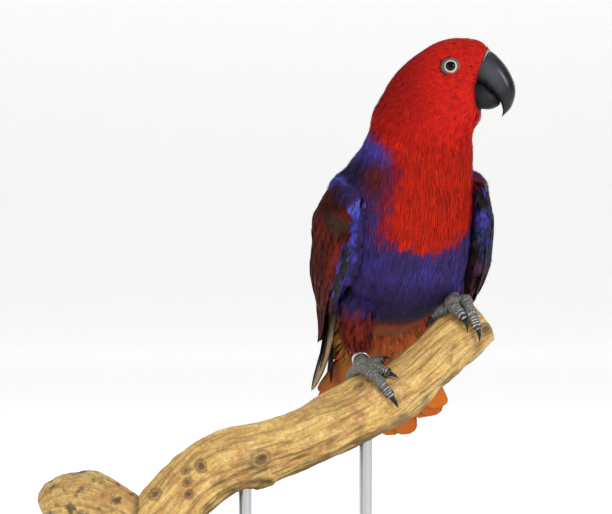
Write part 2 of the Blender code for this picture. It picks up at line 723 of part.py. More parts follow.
def make_branch(parts, cutters):
    """The cut length of branch, with the burl at its low end and the sockets for the rods."""
    rings = []
    for i in range(BRANCH_STEPS + 1):
        place = (len(BRANCH) - 1) * i / BRANCH_STEPS
        x, y, z, radius = curve_at(BRANCH, place)
        ahead = Vector(curve_at(BRANCH, min(place + 0.1, len(BRANCH) - 1))[:3])
        behind = Vector(curve_at(BRANCH, max(place - 0.1, 0))[:3])
        run = (ahead - behind).normalized()
        top = (UP - run * UP.dot(run)).normalized()
        rings.append(ellipse(Vector((x, y, z)), top * radius, run.cross(top) * radius, BRANCH_SIDES))
    branch = loft("perch_branch", rings, parts)
    places = []
    radii = []
    for i in range((len(KNOB) - 1) * 2 + 1):
        x, y, z, radius = curve_at(KNOB, i / 2)
        places.append(Vector((x, y, z)))
        radii.append(radius)
    boolean(branch, [tube("burl", places, radii, 14, cutters)], "UNION")
    sockets = []
    for x, y in ROD_PLACES:
        bottom = rod_top(x) - ROD_SINKS
        sockets.append(upright("socket", x, y, bottom - 30, bottom + ROD_SINKS + GAP, ROD_RADIUS + GAP, cutters))
    boolean(branch, sockets, "DIFFERENCE")
    return branch


def rod_top(x):
    """Where a rod ends, inside the branch that it holds."""
    middle, radius, run = branch_frame(x)
    return middle.z - radius / math.hypot(run.x, run.y) + ROD_SINKS


def upright(name, x, y, bottom, top, radius, collection, sides=24):
    shape = bmesh.new()
    bmesh.ops.create_cone(shape, cap_ends=True, segments=sides, radius1=radius, radius2=radius,
                          depth=top - bottom, matrix=Matrix.Translation((x, y, (top + bottom) / 2)))
    return new_object(name, shape, collection)


def make_stand(parts, cutters):
    """The flat base, with a socket under each rod, and the rods."""
    shape = bmesh.new()
    bmesh.ops.create_cube(shape, size=1.0)
    bmesh.ops.scale(shape, vec=BASE_SIZE, verts=shape.verts)
    bmesh.ops.translate(shape, vec=(0, 0, BASE_SIZE[2] / 2), verts=shape.verts)
    bmesh.ops.bevel(shape, geom=[edge for edge in shape.edges if edge.calc_length() < BASE_SIZE[2] + 1],
                    offset=12, segments=5, profile=0.5, affect="EDGES")
    rim = [edge for edge in shape.edges if min(v.co.z for v in edge.verts) > BASE_SIZE[2] - 0.01]
    bmesh.ops.bevel(shape, geom=rim, offset=BASE_ROUND, segments=2, profile=0.5, affect="EDGES")
    base = new_object("stand_base", shape, parts)
    holes = []
    for number, (x, y) in enumerate(ROD_PLACES, 1):
        bottom = BASE_SIZE[2] - FOOT_SINKS
        upright("stand_rod_%d" % number, x, y, bottom, rod_top(x), ROD_RADIUS, parts)
        holes.append(upright("hole", x, y, bottom - GAP, BASE_SIZE[2] + 5, ROD_RADIUS + GAP, cutters))
    boolean(base, holes, "DIFFERENCE")
    return base


def finish(name, colour, roughness, metallic=0.0):
    """A material of one plain colour."""
    made = bpy.data.materials.new(name)
    made.use_nodes = True
    shader = made.node_tree.nodes["Principled BSDF"]
    shader.inputs["Base Color"].default_value = (*colour, 1.0)
    shader.inputs["Roughness"].default_value = roughness
    shader.inputs["Metallic"].default_value = metallic
    return made


def paint(parts):
    """Gives each node the finish of what it is made of."""
    red = finish("red plumage", (0.45, 0.012, 0.015), 0.8)
    violet = finish("violet plumage", (0.055, 0.035, 0.24), 0.8)
    maroon = finish("maroon plumage", (0.16, 0.02, 0.03), 0.7)
    rust = finish("tail plumage", (0.35, 0.06, 0.02), 0.75)
    horn = finish("black horn", (0.012, 0.012, 0.014), 0.3)
    eye = finish("eye", (0.02, 0.015, 0.012), 0.08)
    scale = finish("grey foot scale", (0.16, 0.17, 0.19), 0.6)
    silver = finish("band metal", (0.6, 0.6, 0.62), 0.3, 1.0)
    wood = finish("branch wood", (0.42, 0.29, 0.16), 0.7)
    dark = finish("stand paint", (0.03, 0.03, 0.032), 0.5)
    steel = finish("rod steel", (0.55, 0.55, 0.56), 0.3, 1.0)
    starts = (("head", red), ("neck", red), ("torso", violet), ("wing", maroon), ("tail", rust), ("thigh", violet),
              ("bill", horn), ("claw", horn), ("eye", eye), ("foot", scale), ("leg_band", silver),
              ("perch", wood), ("stand_base", dark), ("stand_rod", steel))
    for made in parts.objects:
        for start, material in starts:
            if made.name.startswith(start):
                made.data.materials.clear()
                made.data.materials.append(material)


def build():
    for old in list(bpy.data.objects):
        bpy.data.objects.remove(old)
    random.seed(7)
    parts = bpy.data.collections.new("eclectus_parrot")
    cutters = bpy.data.collections.new("cutters")
    for group in (parts, cutters):
        bpy.context.scene.collection.children.link(group)
    right = Wing(RIGHT_WING_LOWER, RIGHT_WING_BACK, RIGHT_WING_BULGE, 1)
    left = Wing(LEFT_WING_LOWER, LEFT_WING_BACK, LEFT_WING_BULGE, -1)
    make_head(parts, cutters)
    bill_half("bill_upper", CULMEN, UPPER_EDGE, UPPER_HALF_WIDTHS, parts, 2.3)
    bill_half("bill_lower", LOWER_TOP, LOWER_BOTTOM, LOWER_HALF_WIDTHS, parts, 2.6)
    make_eye("eye_right", 1, parts)
    make_eye("eye_left", -1, parts)
    body_length("neck", HEAD_ENDS, NECK_ENDS, NECK_STEPS, parts, (GAP / 2, GAP / 2))
    body_length("torso", NECK_ENDS, TORSO_ENDS, TORSO_STEPS, parts, (GAP / 2, GAP / 2))
    make_wing("wing_right", right, THIGH_RIGHT, parts, cutters)
    make_wing("wing_left", left, THIGH_LEFT, parts, cutters)
    make_tail(parts, cutters)
    for side, rows in (("right", THIGH_RIGHT), ("left", THIGH_LEFT)):
        thigh = make_thigh("thigh_" + side, rows, parts)
        boolean(thigh, [body_room(cutters)], "DIFFERENCE")
    make_foot("foot_right", RIGHT_TOES, RIGHT_PALM_AT, THIGH_RIGHT, parts, cutters)
    make_foot("foot_left", LEFT_TOES, LEFT_PALM_AT, THIGH_LEFT, parts, cutters)
    make_claws("right", RIGHT_TOES, parts)
    make_claws("left", LEFT_TOES, parts)
    band_room = make_band("band_room", GAP / 2, cutters)
    boolean(bpy.data.objects["foot_right"], [band_room], "DIFFERENCE")
    make_band("leg_band", 0.0, parts)
    make_branch(parts, cutters)
    make_stand(parts, cutters)
    paint(parts)


build()
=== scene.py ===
"""An adult female eclectus parrot on a cut length of branch, held by a display stand.

Sizes are in millimetres. X runs to the right as the bird is seen from the front, Y runs away
behind it, Z is up, and the origin is the middle of the underside of the stand's base.
"""

import math

import bpy
import numpy as np
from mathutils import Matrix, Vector, noise
from mathutils.bvhtree import BVHTree
from mathutils.kdtree import KDTree


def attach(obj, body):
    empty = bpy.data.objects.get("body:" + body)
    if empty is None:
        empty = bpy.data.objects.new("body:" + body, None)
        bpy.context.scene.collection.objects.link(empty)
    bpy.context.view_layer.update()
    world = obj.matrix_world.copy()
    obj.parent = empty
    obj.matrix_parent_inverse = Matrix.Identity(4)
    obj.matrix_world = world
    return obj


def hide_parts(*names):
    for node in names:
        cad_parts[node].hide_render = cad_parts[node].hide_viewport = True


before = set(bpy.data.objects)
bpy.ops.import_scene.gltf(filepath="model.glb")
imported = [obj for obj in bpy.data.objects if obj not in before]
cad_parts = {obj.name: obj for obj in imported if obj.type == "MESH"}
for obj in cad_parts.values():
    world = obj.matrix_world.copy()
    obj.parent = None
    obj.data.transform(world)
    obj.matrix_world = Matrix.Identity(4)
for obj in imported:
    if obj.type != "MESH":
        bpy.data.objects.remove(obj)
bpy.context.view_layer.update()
MM = 0.001


# View and light
# A pale seamless sweep of paper, lit by soft boxes from the front and above, and one camera
# in front of the perch, level with the bird's belly.

CAMERA_PLACE = (-14.9, -1350.0, 218.9)
CAMERA_LENS = 128.1
CAMERA_SENSOR = 36.0
SWEEP_HALF_WIDTH = 6000.0
SWEEP_FRONT = -6000.0
SWEEP_BEND = 3600.0
SWEEP_ROUND = 1200.0
SWEEP_TOP = 4200.0
SWEEP_STEPS = 16
PAPER = (0.93, 0.93, 0.925, 1.0)
SOFT_BOXES = (
    ("key_light", (980.0, -1150.0, 830.0), 430.0, 13.0),
    ("fill_light", (-1100.0, -900.0, 700.0), 900.0, 4.6),
    ("paper_light", (0.0, 300.0, 1900.0), 1600.0, 12.0),
)
LIGHT_AIM = (20.0, 0.0, 220.0)
WHITE = (1.0, 1.0, 1.0, 1.0)
SKY = 0.26
PAPER_GLOW = 0.48


def unit(rows):
    """Rows of vectors made one long."""
    return rows / np.maximum(np.linalg.norm(rows, axis=-1, keepdims=True), 1e-9)


def mesh_object(name, points, faces):
    """An object from points in millimetres and faces that all have as many corners."""
    points = np.asarray(points, float).reshape(-1, 3) * MM
    faces = np.asarray(faces, int)
    corners = faces.shape[1]
    mesh = bpy.data.meshes.new(name)
    mesh.vertices.add(len(points))
    mesh.vertices.foreach_set("co", points.ravel())
    mesh.loops.add(faces.size)
    mesh.loops.foreach_set("vertex_index", faces.ravel())
    mesh.polygons.add(len(faces))
    mesh.polygons.foreach_set("loop_start", np.arange(0, faces.size, corners))
    mesh.update(calc_edges=True)
    mesh.shade_smooth()
    made = bpy.data.objects.new(name, mesh)
    bpy.context.scene.collection.objects.link(made)
    return made


def new_material(name, roughness, colour=(0.5, 0.5, 0.5, 1.0)):
    """A material, its node tree and its main shader."""
    made = bpy.data.materials.new(name)
    made.use_nodes = True
    shader = made.node_tree.nodes["Principled BSDF"]
    shader.inputs["Roughness"].default_value = roughness
    shader.inputs["Base Color"].default_value = colour
    return made, made.node_tree, shader


def add_node(tree, kind, inputs=(), **settings):
    """Adds a node; each input is a socket and the value or the output that it takes."""
    node = tree.nodes.new(kind)
    for key, value in settings.items():
        setattr(node, key, value)
    for socket, value in inputs:
        if isinstance(value, bpy.types.NodeSocket):
            tree.links.new(value, node.inputs[socket])
        else:
            node.inputs[socket].default_value = value
    return node


def make_sweep():
    """The floor, a quarter round and the wall behind, as one sheet."""
    profile = [(SWEEP_FRONT, 0.0)]
    for i in range(SWEEP_STEPS + 1):
        turn = math.pi / 2 * i / SWEEP_STEPS
        profile.append((SWEEP_BEND + SWEEP_ROUND * math.sin(turn), SWEEP_ROUND * (1 - math.cos(turn))))
    profile.append((SWEEP_BEND + SWEEP_ROUND, SWEEP_TOP))
    points = []
    for y, z in profile:
        points += [(-SWEEP_HALF_WIDTH, y, z), (SWEEP_HALF_WIDTH, y, z)]
    faces = [(2 * i, 2 * i + 1, 2 * i + 3, 2 * i + 2) for i in range(len(profile) - 1)]
    sweep = mesh_object("paper_sweep", points, faces)
    made, _, shader = new_material("matt white paper", 0.9, PAPER)
    shader.inputs["Emission Color"].default_value = WHITE
    shader.inputs["Emission Strength"].default_value = PAPER_GLOW
    sweep.data.materials.append(made)


def make_lights():
    """The soft boxes, aimed at the bird, and an even white room."""
    for name, place, size, power in SOFT_BOXES:
        light = bpy.data.lights.new(name, "AREA")
        light.size = size * MM
        light.energy = power
        holder = bpy.data.objects.new(name, light)
        holder.location = Vector(place) * MM
        aim = Vector(LIGHT_AIM) * MM - holder.location
        holder.rotation_euler = aim.to_track_quat("-Z", "Y").to_euler()
        bpy.context.scene.collection.objects.link(holder)
    world = bpy.data.worlds.new("soft room")
    world.use_nodes = True
    world.node_tree.nodes["Background"].inputs["Color"].default_value = WHITE
    world.node_tree.nodes["Background"].inputs["Strength"].default_value = SKY
    bpy.context.scene.world = world


def make_camera():
    """The camera, level and looking straight along Y."""
    lens = bpy.data.cameras.new("camera")
    lens.lens = CAMERA_LENS
    lens.sensor_width = CAMERA_SENSOR
    holder = bpy.data.objects.new("camera", lens)
    holder.location = Vector(CAMERA_PLACE) * MM
    holder.rotation_euler = (math.radians(90), 0.0, 0.0)
    bpy.context.scene.collection.objects.link(holder)
    bpy.context.scene.camera = holder


bpy.context.scene.view_settings.view_transform = "Standard"
make_sweep()
make_lights()
make_camera()


# Stand
# The base is a board of dark lacquered wood, and the rods are brushed steel bar set into sockets
# in it and in the branch. Both are the solids themselves with their finish.

LACQUER_DARK = (0.012, 0.009, 0.007)
LACQUER_PALE = (0.055, 0.038, 0.026)
STEEL = (0.56, 0.56, 0.57, 1.0)


def place_of(tree):
    return add_node(tree, "ShaderNodeTexCoord").outputs["Object"]


def stretched(tree, place, scale):
    return add_node(tree, "ShaderNodeMapping", [("Vector", place), ("Scale", scale)]).outputs[0]


def noise_at(tree, place, scale, detail=2.0, roughness=0.5, distortion=0.0):
    inputs = [("Vector", place), ("Scale", scale), ("Detail", detail), ("Roughness", roughness),
              ("Distortion", distortion)]
    return add_node(tree, "ShaderNodeTexNoise", inputs).outputs[0]


def colours_along(tree, value, *stops):
    """A colour for each value, from stops of a place and a colour."""
    node = add_node(tree, "ShaderNodeValToRGB", [("Fac", value)])
    elements = node.color_ramp.elements
    elements[0].position = stops[0][0]
    elements[1].position = stops[-1][0]
    for place, _ in stops[1:-1]:
        elements.new(place)
    for element, (_, colour) in zip(elements, stops):
        element.color = (*colour, 1.0)
    return node.outputs[0]


def finish_with(tree, shader, colour, height, strength, depth):
    """Gives a shader its colour, and relief from a height and how deep it is in metres."""
    bump = add_node(tree, "ShaderNodeBump", [("Height", height), ("Strength", strength), ("Distance", depth)])
    tree.links.new(bump.outputs[0], shader.inputs["Normal"])
    if colour:
        tree.links.new(colour, shader.inputs["Base Color"])


def lacquer_finish():
    """Dark stained grain under a clear coat."""
    made, tree, shader = new_material("dark lacquered board", 0.35)
    grain = noise_at(tree, stretched(tree, place_of(tree), (6, 90, 40)), 3.0, 6.0)
    shades = colours_along(tree, grain, (0.0, LACQUER_DARK), (1.0, LACQUER_PALE))
    finish_with(tree, shader, shades, grain, 0.15, 0.0004)
    shader.inputs["Coat Weight"].default_value = 0.6
    return made


def steel_finish():
    """Bare steel with fine brushing along the rod."""
    made, tree, shader = new_material("brushed steel rod", 0.3, STEEL)
    shader.inputs["Metallic"].default_value = 1.0
    brushing = noise_at(tree, stretched(tree, place_of(tree), (40, 40, 2500)), 1.0, 3.0)
    finish_with(tree, shader, None, brushing, 0.2, 0.0002)
    return made


steel = steel_finish()
for name, finish in (("stand_base", lacquer_finish()), ("stand_rod_1", steel), ("stand_rod_2", steel)):
    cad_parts[name].data.materials.clear()
    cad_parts[name].data.materials.append(finish)


# Branch
# A peeled, weathered length of hardwood, sawn off at its upper end and ending in a burl at its
# lower one. Its knots, checks and stains are part of the wood, and its underside and checks are
# darkened with painted shade.

BRANCH = (
    (-112.0, -37, 46.0, 19.0), (-102.0, -35, 60.0, 19.0), (-89.0, -31, 76.0, 19.2), (-72.5, -27, 89.5, 19.8),
    (-54.6, -23, 96.0, 19.6), (-25.0, -16, 104.5, 17.8), (-8.7, -12, 111.8, 18.4), (22.3, -5, 125.6, 19.3),
    (47.1, 0, 139.6, 17.4), (74.4, 5, 163.4, 16.0), (86.0, 8, 171.5, 15.2), (95.5, 10, 178.0, 13.6),
)
KNOB = (
    (-113.0, -37, 52.0, 12.0), (-122.0, -37, 60.0, 14.0), (-136.5, -36, 67.5, 17.5), (-151.0, -35, 71.0, 18.5),
    (-165.0, -35, 69.0, 16.0), (-174.0, -35, 65.0, 8.0),
)
# Each knot as it is seen from the front: x, z, half its length, half its breadth, its rise, how dark it is.
KNOTS = (
    (-46.4, 97.0, 5.5, 4.5, 1.7, 0.75), (-82.2, 93.5, 2.6, 3.2, 0.5, 0.9), (-90.7, 91.5, 2.6, 2.0, 0.3, 0.8),
    (-90.5, 84.5, 2.8, 2.2, 0.4, 0.85), (-90.0, 77.2, 2.6, 2.1, 0.4, 0.9), (-109.5, 77.0, 3.4, 3.8, 0.3, 0.8),
    (-42.0, 82.5, 6.5, 4.5, 2.1, 0.35), (16.0, 139.5, 3.6, 3.0, 0.9, 0.7), (93.5, 174.0, 4.5, 4.0, 0.9, 0.9),
    (72.0, 164.0, 3.5, 2.6, 0.4, 0.45), (-66.0, 104.0, 5.0, 2.0, 0.4, 0.3),
)
BRANCH_RINGS = 330
BRANCH_SIDES = 150
KNOB_RINGS = 110
KNOB_SIDES = 100
GRAIN_ROUND = 18.0
WOOD = (0.62, 0.360, 0.085)
WOOD_PALE = (0.84, 0.56, 0.18)
WOOD_STREAK = (0.33, 0.170, 0.050)
WOOD_PAINTED_SHADE = (0.17, 0.100, 0.032)
WOOD_DARK = (0.060, 0.034, 0.020)
WOOD_RED = (0.50, 0.22, 0.07)
WOOD_FIBRE = (0.24, 0.12, 0.045)
WOOD_FIBRE_HIGHLIGHT = (0.92, 0.70, 0.38)
UP = np.array((0.0, 0.0, 1.0))


def curve_at(rows, places):
    """The smooth curve through rows of numbers, read at places from 0 to the last row's number."""
    rows = np.asarray(rows, float)
    places = np.clip(np.asarray(places, float), 0, len(rows) - 1)
    step = np.minimum(places.astype(int), len(rows) - 2)
    t = (places - step)[..., None]
    a = rows[np.maximum(step - 1, 0)]
    b = rows[step]
    c = rows[step + 1]
    d = rows[np.minimum(step + 2, len(rows) - 1)]
    return 0.5 * (2 * b + (c - a) * t + (2 * a - 5 * b + 4 * c - d) * t * t + (3 * b - a - 3 * c + d) * t ** 3)


def ramp(values, start, end):
    """A soft step from 0 at the start to 1 at the end."""
    share = np.clip((np.asarray(values, float) - start) / (end - start), 0.0, 1.0)
    return share * share * (3 - 2 * share)


def grid_faces(rows, columns):
    """The four-cornered faces of a grid of points, its columns closed round."""
    i, j = np.meshgrid(np.arange(rows - 1), np.arange(columns), indexing="ij")
    k = (j + 1) % columns
    faces = np.stack([i * columns + j, i * columns + k, (i + 1) * columns + k, (i + 1) * columns + j], axis=-1)
    return faces.reshape(-1, 4)


def with_caps(points, rows, columns):
    """A closed tube's points and faces, its ends filled by a fan of narrow four-cornered faces."""
    points = np.asarray(points, float).reshape(rows, columns, 3)
    ends = np.stack([points[0].mean(axis=0), points[-1].mean(axis=0)])
    first = rows * columns
    j = np.arange(0, columns, 2)
    low = np.stack([np.full(len(j), first), (j + 2) % columns, (j + 1) % columns, j], axis=-1)
    high = np.stack([np.full(len(j), first + 1), j, (j + 1) % columns, (j + 2) % columns], axis=-1)
    high[:, 1:] += (rows - 1) * columns
    return np.concatenate([points.reshape(-1, 3), ends]), np.concatenate([grid_faces(rows, columns), low, high])


def tube_rings(places, radii, sides):
    """Rings of points round a path, with their outward ways."""
    places = np.asarray(places, float)
    run = unit(np.gradient(places, axis=0))
    top = unit(UP - run * (run @ UP)[:, None])
    front = np.cross(run, top)
    turns = np.arange(sides) * 2 * math.pi / sides
    out = top[:, None] * np.cos(turns)[None, :, None] + front[:, None] * np.sin(turns)[None, :, None]
    return places[:, None] + out * np.asarray(radii)[:, None, None], out


def joined(pieces):
    """The points and the faces of several shapes as one."""
    firsts = np.cumsum([0] + [len(points) for points, _ in pieces])
    return (np.concatenate([points for points, _ in pieces]),
            np.concatenate([faces + first for (_, faces), first in zip(pieces, firsts)]))


def rough(points, size, detail=3):
    """Smooth random numbers from about -1 to 1 at points, in lumps of a size."""
    points = np.asarray(points)
    values = [noise.fractal(Vector(point), 0.9, 2.0, detail) for point in (points / size).reshape(-1, 3)]
    return np.array(values).reshape(points.shape[:-1])


def give_numbers(made, name, values):
    """Stores a number for each point of a piece."""
    layer = made.data.attributes.new(name, "FLOAT", "POINT")
    layer.data.foreach_set("value", np.ascontiguousarray(values, np.float32).ravel())


def read_vectors(mesh, what):
    """Each point's place or its way out of the surface."""
    values = np.empty(len(mesh.vertices) * 3)
    mesh.vertices.foreach_get(what, values)
    return values.reshape(-1, 3)


def give_places(made, name, values):
    """Stores three numbers for each point of a piece."""
    layer = made.data.attributes.new(name, "FLOAT_VECTOR", "POINT")
    layer.data.foreach_set("vector", np.ascontiguousarray(values, np.float32).ravel())


def wrapped(along, turns, length, waves):
    """Places for a pattern that runs along the branch and closes round it."""
    rounds = [np.broadcast_to(part * waves, along.shape) for part in (np.sin(turns), np.cos(turns))]
    return np.stack([along / length, *rounds], axis=-1)


def branch_points():
    """The branch's rings with its swellings and knots, where each point lies on it, and how dark it is."""
    fine = curve_at(BRANCH, np.linspace(0, len(BRANCH) - 1, BRANCH_RINGS))
    rings, out = tube_rings(fine[:, :3], fine[:, 3], BRANCH_SIDES)
    length = np.concatenate([[0], np.cumsum(np.linalg.norm(np.diff(fine[:, :3], axis=0), axis=1))])
    turns = np.arange(BRANCH_SIDES) * 2 * math.pi / BRANCH_SIDES
    along = np.repeat(length[:, None], BRANCH_SIDES, axis=1)
    around = np.repeat((turns * GRAIN_ROUND)[None], BRANCH_RINGS, axis=0)
    rise = rough(rings, 30.0) * 2.0
    rise += rough(wrapped(along, turns, 46.0, 2.1), 1.0) * 1.6
    checks = rough(wrapped(along, turns, 60.0, 9), 1.0, 4)
    rise -= ramp(checks, 0.25, 0.7) * 0.9
    # The checks are painted dark as well as cut in: painted shade in the cracks.
    dark = ramp(checks, 0.22, 0.7) * 0.45
    for x, z, half_long, half_round, height, shade in KNOTS:
        at = int(np.argmin(np.hypot(fine[:, 0] - x, fine[:, 2] - z)))
        run = unit(fine[min(at + 2, BRANCH_RINGS - 1)][None, :3] - fine[max(at - 2, 0)][None, :3])[0]
        offset = np.dot(np.array((x, 0, z)) - np.array((fine[at, 0], 0, fine[at, 2])),
                        np.array((-run[2], 0, run[0])) / math.hypot(run[0], run[2]))
        turn = math.acos(np.clip(offset / fine[at, 3], -0.98, 0.98))
        round_way = ((turns - turn + math.pi) % (2 * math.pi)) - math.pi
        away = np.hypot((along - length[at]) / half_long, round_way[None] * GRAIN_ROUND / half_round)
        away = away * (1 + 0.16 * rough(rings, 4.0))
        rise += height * np.exp(-((away - 0.9) / 0.45) ** 2) - 0.6 * height * np.exp(-(away / 0.45) ** 2)
        dark = np.maximum(dark, shade * np.exp(-(away / 0.85) ** 4) * (1.0 + 0.12 * np.cos(away * 11.0)))
        dark = np.maximum(dark, 0.85 * shade * np.exp(-((away - 1.08) / 0.2) ** 2))
    return rings + out * rise[..., None], along, around, np.clip(dark, 0, 0.92)


def knob_points():
    """The burl, lumpier than the branch and stained."""
    fine = curve_at(KNOB, np.linspace(0, len(KNOB) - 1, KNOB_RINGS))
    ends = np.linspace(-1, 1, KNOB_RINGS).clip(0.86, 1) - 0.86
    ends = np.sqrt(np.clip(1 - ends ** 2 / 0.0196 * 0.9, 0.05, 1))
    rings, out = tube_rings(fine[:, :3], fine[:, 3] * ends, KNOB_SIDES)
    rise = rough(rings, 15.0) * 1.5 + rough(rings, 5.0) * 0.35
    dark = 0.14 + ramp(rough(rings, 7.0, 5), 0.12, 0.6) * 0.75
    rings = rings + out * rise[..., None]
    along = np.repeat(np.linspace(0, 60, KNOB_RINGS)[:, None], KNOB_SIDES, axis=1)
    around = np.repeat((np.arange(KNOB_SIDES) * 2 * math.pi / KNOB_SIDES * 17)[None], KNOB_RINGS, axis=0)
    return rings, along, around, np.maximum(dark, ramp(rings[..., 0], -121.0, -116.0) * 0.7)


def stored(tree, name, output):
    return add_node(tree, "ShaderNodeAttribute", attribute_name=name).outputs[output]


def spread(tree, value, low, high, first, last):
    """A value moved from the range low to high into the range first to last."""
    inputs = [("Value", value), ("From Min", low), ("From Max", high), ("To Min", first), ("To Max", last)]
    return add_node(tree, "ShaderNodeMapRange", inputs).outputs[0]


def mixed(tree, share, first, second, blend="MIX"):
    """The first colour mixed with the second, or multiplied by it."""
    if isinstance(second, tuple):
        second = (*second, 1.0)
    inputs = [("Factor", share), (6, first), (7, second)]
    return add_node(tree, "ShaderNodeMix", inputs, data_type="RGBA", blend_type=blend).outputs[2]


def wood_finish():
    """Grain in long streaks with dark fibres and pale ones painted as highlights, reddish blotches, pores,
    stains and knots, and painted shade on the underside and in the checks.
    """
    made, tree, shader = new_material("weathered wood", 0.62)
    lie = stored(tree, "grain", "Vector")
    place = place_of(tree)
    streaks = noise_at(tree, stretched(tree, lie, (0.035, 0.34, 0.34)), 1.0, 7.0, 0.62, 0.8)
    fibres = noise_at(tree, stretched(tree, lie, (0.12, 2.4, 2.4)), 1.0, 5.0, 0.6)
    blotches = spread(tree, noise_at(tree, place, 58.0, 9.0, 0.72), 0.50, 0.62, 0.0, 0.75)
    pores = spread(tree, noise_at(tree, place, 430.0, 8.0, 0.7), 0.3, 0.7, 0.74, 1.36)
    colour = colours_along(tree, streaks, (0.30, WOOD_STREAK), (0.42, WOOD), (0.57, WOOD_PALE))
    colour = mixed(tree, blotches, colour, WOOD_RED)
    colour = mixed(tree, spread(tree, fibres, 0.36, 0.50, 0.38, 0.0), colour, WOOD_FIBRE)
    # Pale fibres along the grain: a painted highlight.
    colour = mixed(tree, spread(tree, fibres, 0.54, 0.66, 0.0, 0.55), colour, WOOD_FIBRE_HIGHLIGHT)
    colour = mixed(tree, 1.0, colour, pores, "MULTIPLY")
    # Painted shade on the underside of the branch and burl.
    colour = mixed(tree, stored(tree, "painted_shade_below", "Fac"), colour, WOOD_PAINTED_SHADE)
    colour = mixed(tree, stored(tree, "dark", "Fac"), colour, WOOD_DARK)
    finish_with(tree, shader, colour, fibres, 0.8, 0.0009)
    return made


def make_branch():
    """Branch and burl as one piece."""
    pieces = []
    grain = []
    dark = []
    for rings, along, around, shade in (branch_points(), knob_points()):
        pieces.append(with_caps(rings, *along.shape))
        turns = around / GRAIN_ROUND
        lie = np.stack([along, np.cos(turns) * GRAIN_ROUND, np.sin(turns) * GRAIN_ROUND], axis=-1)
        grain.append(np.concatenate([lie.reshape(-1, 3), [[0, 0, 0], [along.max(), 0, 0]]]))
        dark.append(np.concatenate([shade.ravel(), [0.3, 0.3]]))
    points, faces = joined(pieces)
    made = mesh_object("branch", points, faces)
    give_places(made, "grain", np.concatenate(grain))
    give_numbers(made, "dark", np.concatenate(dark))
    # How far each point faces down, broken by noise: where the underside gets painted shade.
    painted_shade_below = -read_vectors(made.data, "normal")[:, 2] + 0.45 * rough(points, 11.0, 5)
    give_numbers(made, "painted_shade_below", ramp(painted_shade_below, 0.12, 0.95) * 0.9)
    made.data.materials.append(wood_finish())
    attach(made, "root")
    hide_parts("perch_branch")


make_branch()


# Skin
# One skin covers the head, neck, body, thighs and the arms of the wings. It lies under the coat by
# the coat's depth, and carries the same markings as the feathers that grow from it, darkened as
# painted shade except on the face.

BODY = (
    (79.5, -9.5, 352.7, 0, -15, 4.5, 3.6),
    (79.5, -9.5, 350.8, 0, -15, 12.8, 9.6),
    (79.4, -9.5, 347.8, 0, -15, 19.2, 13.6),
    (78.9, -9.3, 343.3, 0, -15, 25.7, 17.0),
    (73.4, -8.9, 336.5, 0, -15, 28.8, 19.0),
    (68.4, -8.3, 328.0, 0, -15, 31.5, 20.4),
    (64.8, -7.7, 317.0, 0, -14, 34.3, 22.0),
    (60.8, -6.9, 308.0, 0, -10, 35.0, 24.0),
    (56.2, -5.5, 297.0, 2, -4, 32.6, 27.0),
    (53.4, -3.6, 285.0, 5, 5, 35.0, 31.0),
    (48.6, -1.0, 270.0, 11, 14, 39.8, 35.6),
    (45.6, 3.0, 247.0, 24, 20, 43.0, 39.5),
    (45.6, 22.0, 220.0, 41, 15, 41.5, 38.0),
    (39.5, 50.0, 199.0, 53, 8, 33.0, 28.0),
    (37.2, 78.0, 179.0, 52, 2, 19.0, 12.5),
    (37.4, 92.0, 168.0, 48, 1, 13.0, 7.0),
)
SECTION_POWER = 2.15
BODY_RINGS = 170
BODY_SIDES = 84
THIGHS = (
    ((30, 26, 206, 14), (21, 19, 190, 13.5), (16.5, 14.5, 177, 11.5), (17.2, 11.5, 165, 9.0),
     (19.0, 7.5, 157.5, 5.6)),
    ((64, 30, 218, 14), (69, 25, 208, 13), (74, 20, 200.5, 10.5), (77, 15.5, 195.5, 6.5)),
)
COAT_DEPTH_PLACES = (0, 2, 6, 9, 12, 15)
COAT_DEPTHS = (1.2, 1.3, 1.8, 2.4, 2.8, 2.4)
HEAD_MIDDLE = np.array((72.0, -9.0, 0.0))
HEAD_TURN = math.radians(-15)
FORWARD = np.array((math.cos(HEAD_TURN), math.sin(HEAD_TURN), 0.0))
RIGHT_SIDE = np.array((math.sin(HEAD_TURN), -math.cos(HEAD_TURN), 0.0))
BILL_BED_HEIGHTS = (307.0, 309.0, 323.2, 345.0, 347.0, 350.0, 353.0)
BILL_BED_FORWARD = (22.0, 19.6, 18.6, 25.4, 23.4, 20.8, 14.0)
RIGHT_WING = dict(
    lower=((18.5, -36, 252), (16, -31, 232), (13, -18, 214), (8, -1, 201), (3, 24, 187), (-3, 56, 167),
           (-10, 92, 148), (-15.5, 125, 129)),
    back=((16, 12, 277), (24, 36, 262), (30, 55, 243), (30, 72, 221), (27, 88, 198), (16, 104, 174),
          (1, 116, 151), (-15.5, 125, 129)),
    bulge=(15, 28.5, 31.5, 30, 22.5, 11, 4, 1.5),
    side=1,
)
LEFT_WING = dict(
    lower=((95, -10, 260), (96, -9, 241), (95.5, 1, 224), (94, 13, 208), (91, 30, 195), (85, 58, 178),
           (79, 94, 160), (72, 132, 140)),
    back=((72, 26, 280), (58, 45, 263), (50, 60, 243), (46, 76, 221), (47, 92, 200), (54, 108, 179),
          (64, 121, 158), (72, 132, 140)),
    bulge=(13, 24, 30, 31, 25, 12, 5, 1.5),
    side=-1,
)
WING_DEPTH = (14, 21, 25, 23, 16, 6, 2.4, 1.4)
ARM_ENDS = 0.62
ARM_SINKS = 1.2
SKIN_CELL = 1.1
SKIN_SMOOTHING = 6
BATCH = 4000
RED = np.array((0.63, 0.014, 0.007))
RED_NAPE_SHADE = np.array((0.34, 0.007, 0.005))
RED_EDGE = np.array((0.30, 0.008, 0.012))
RED_WARM = np.array((0.60, 0.020, 0.004))
VIOLET = np.array((0.046, 0.028, 0.125))
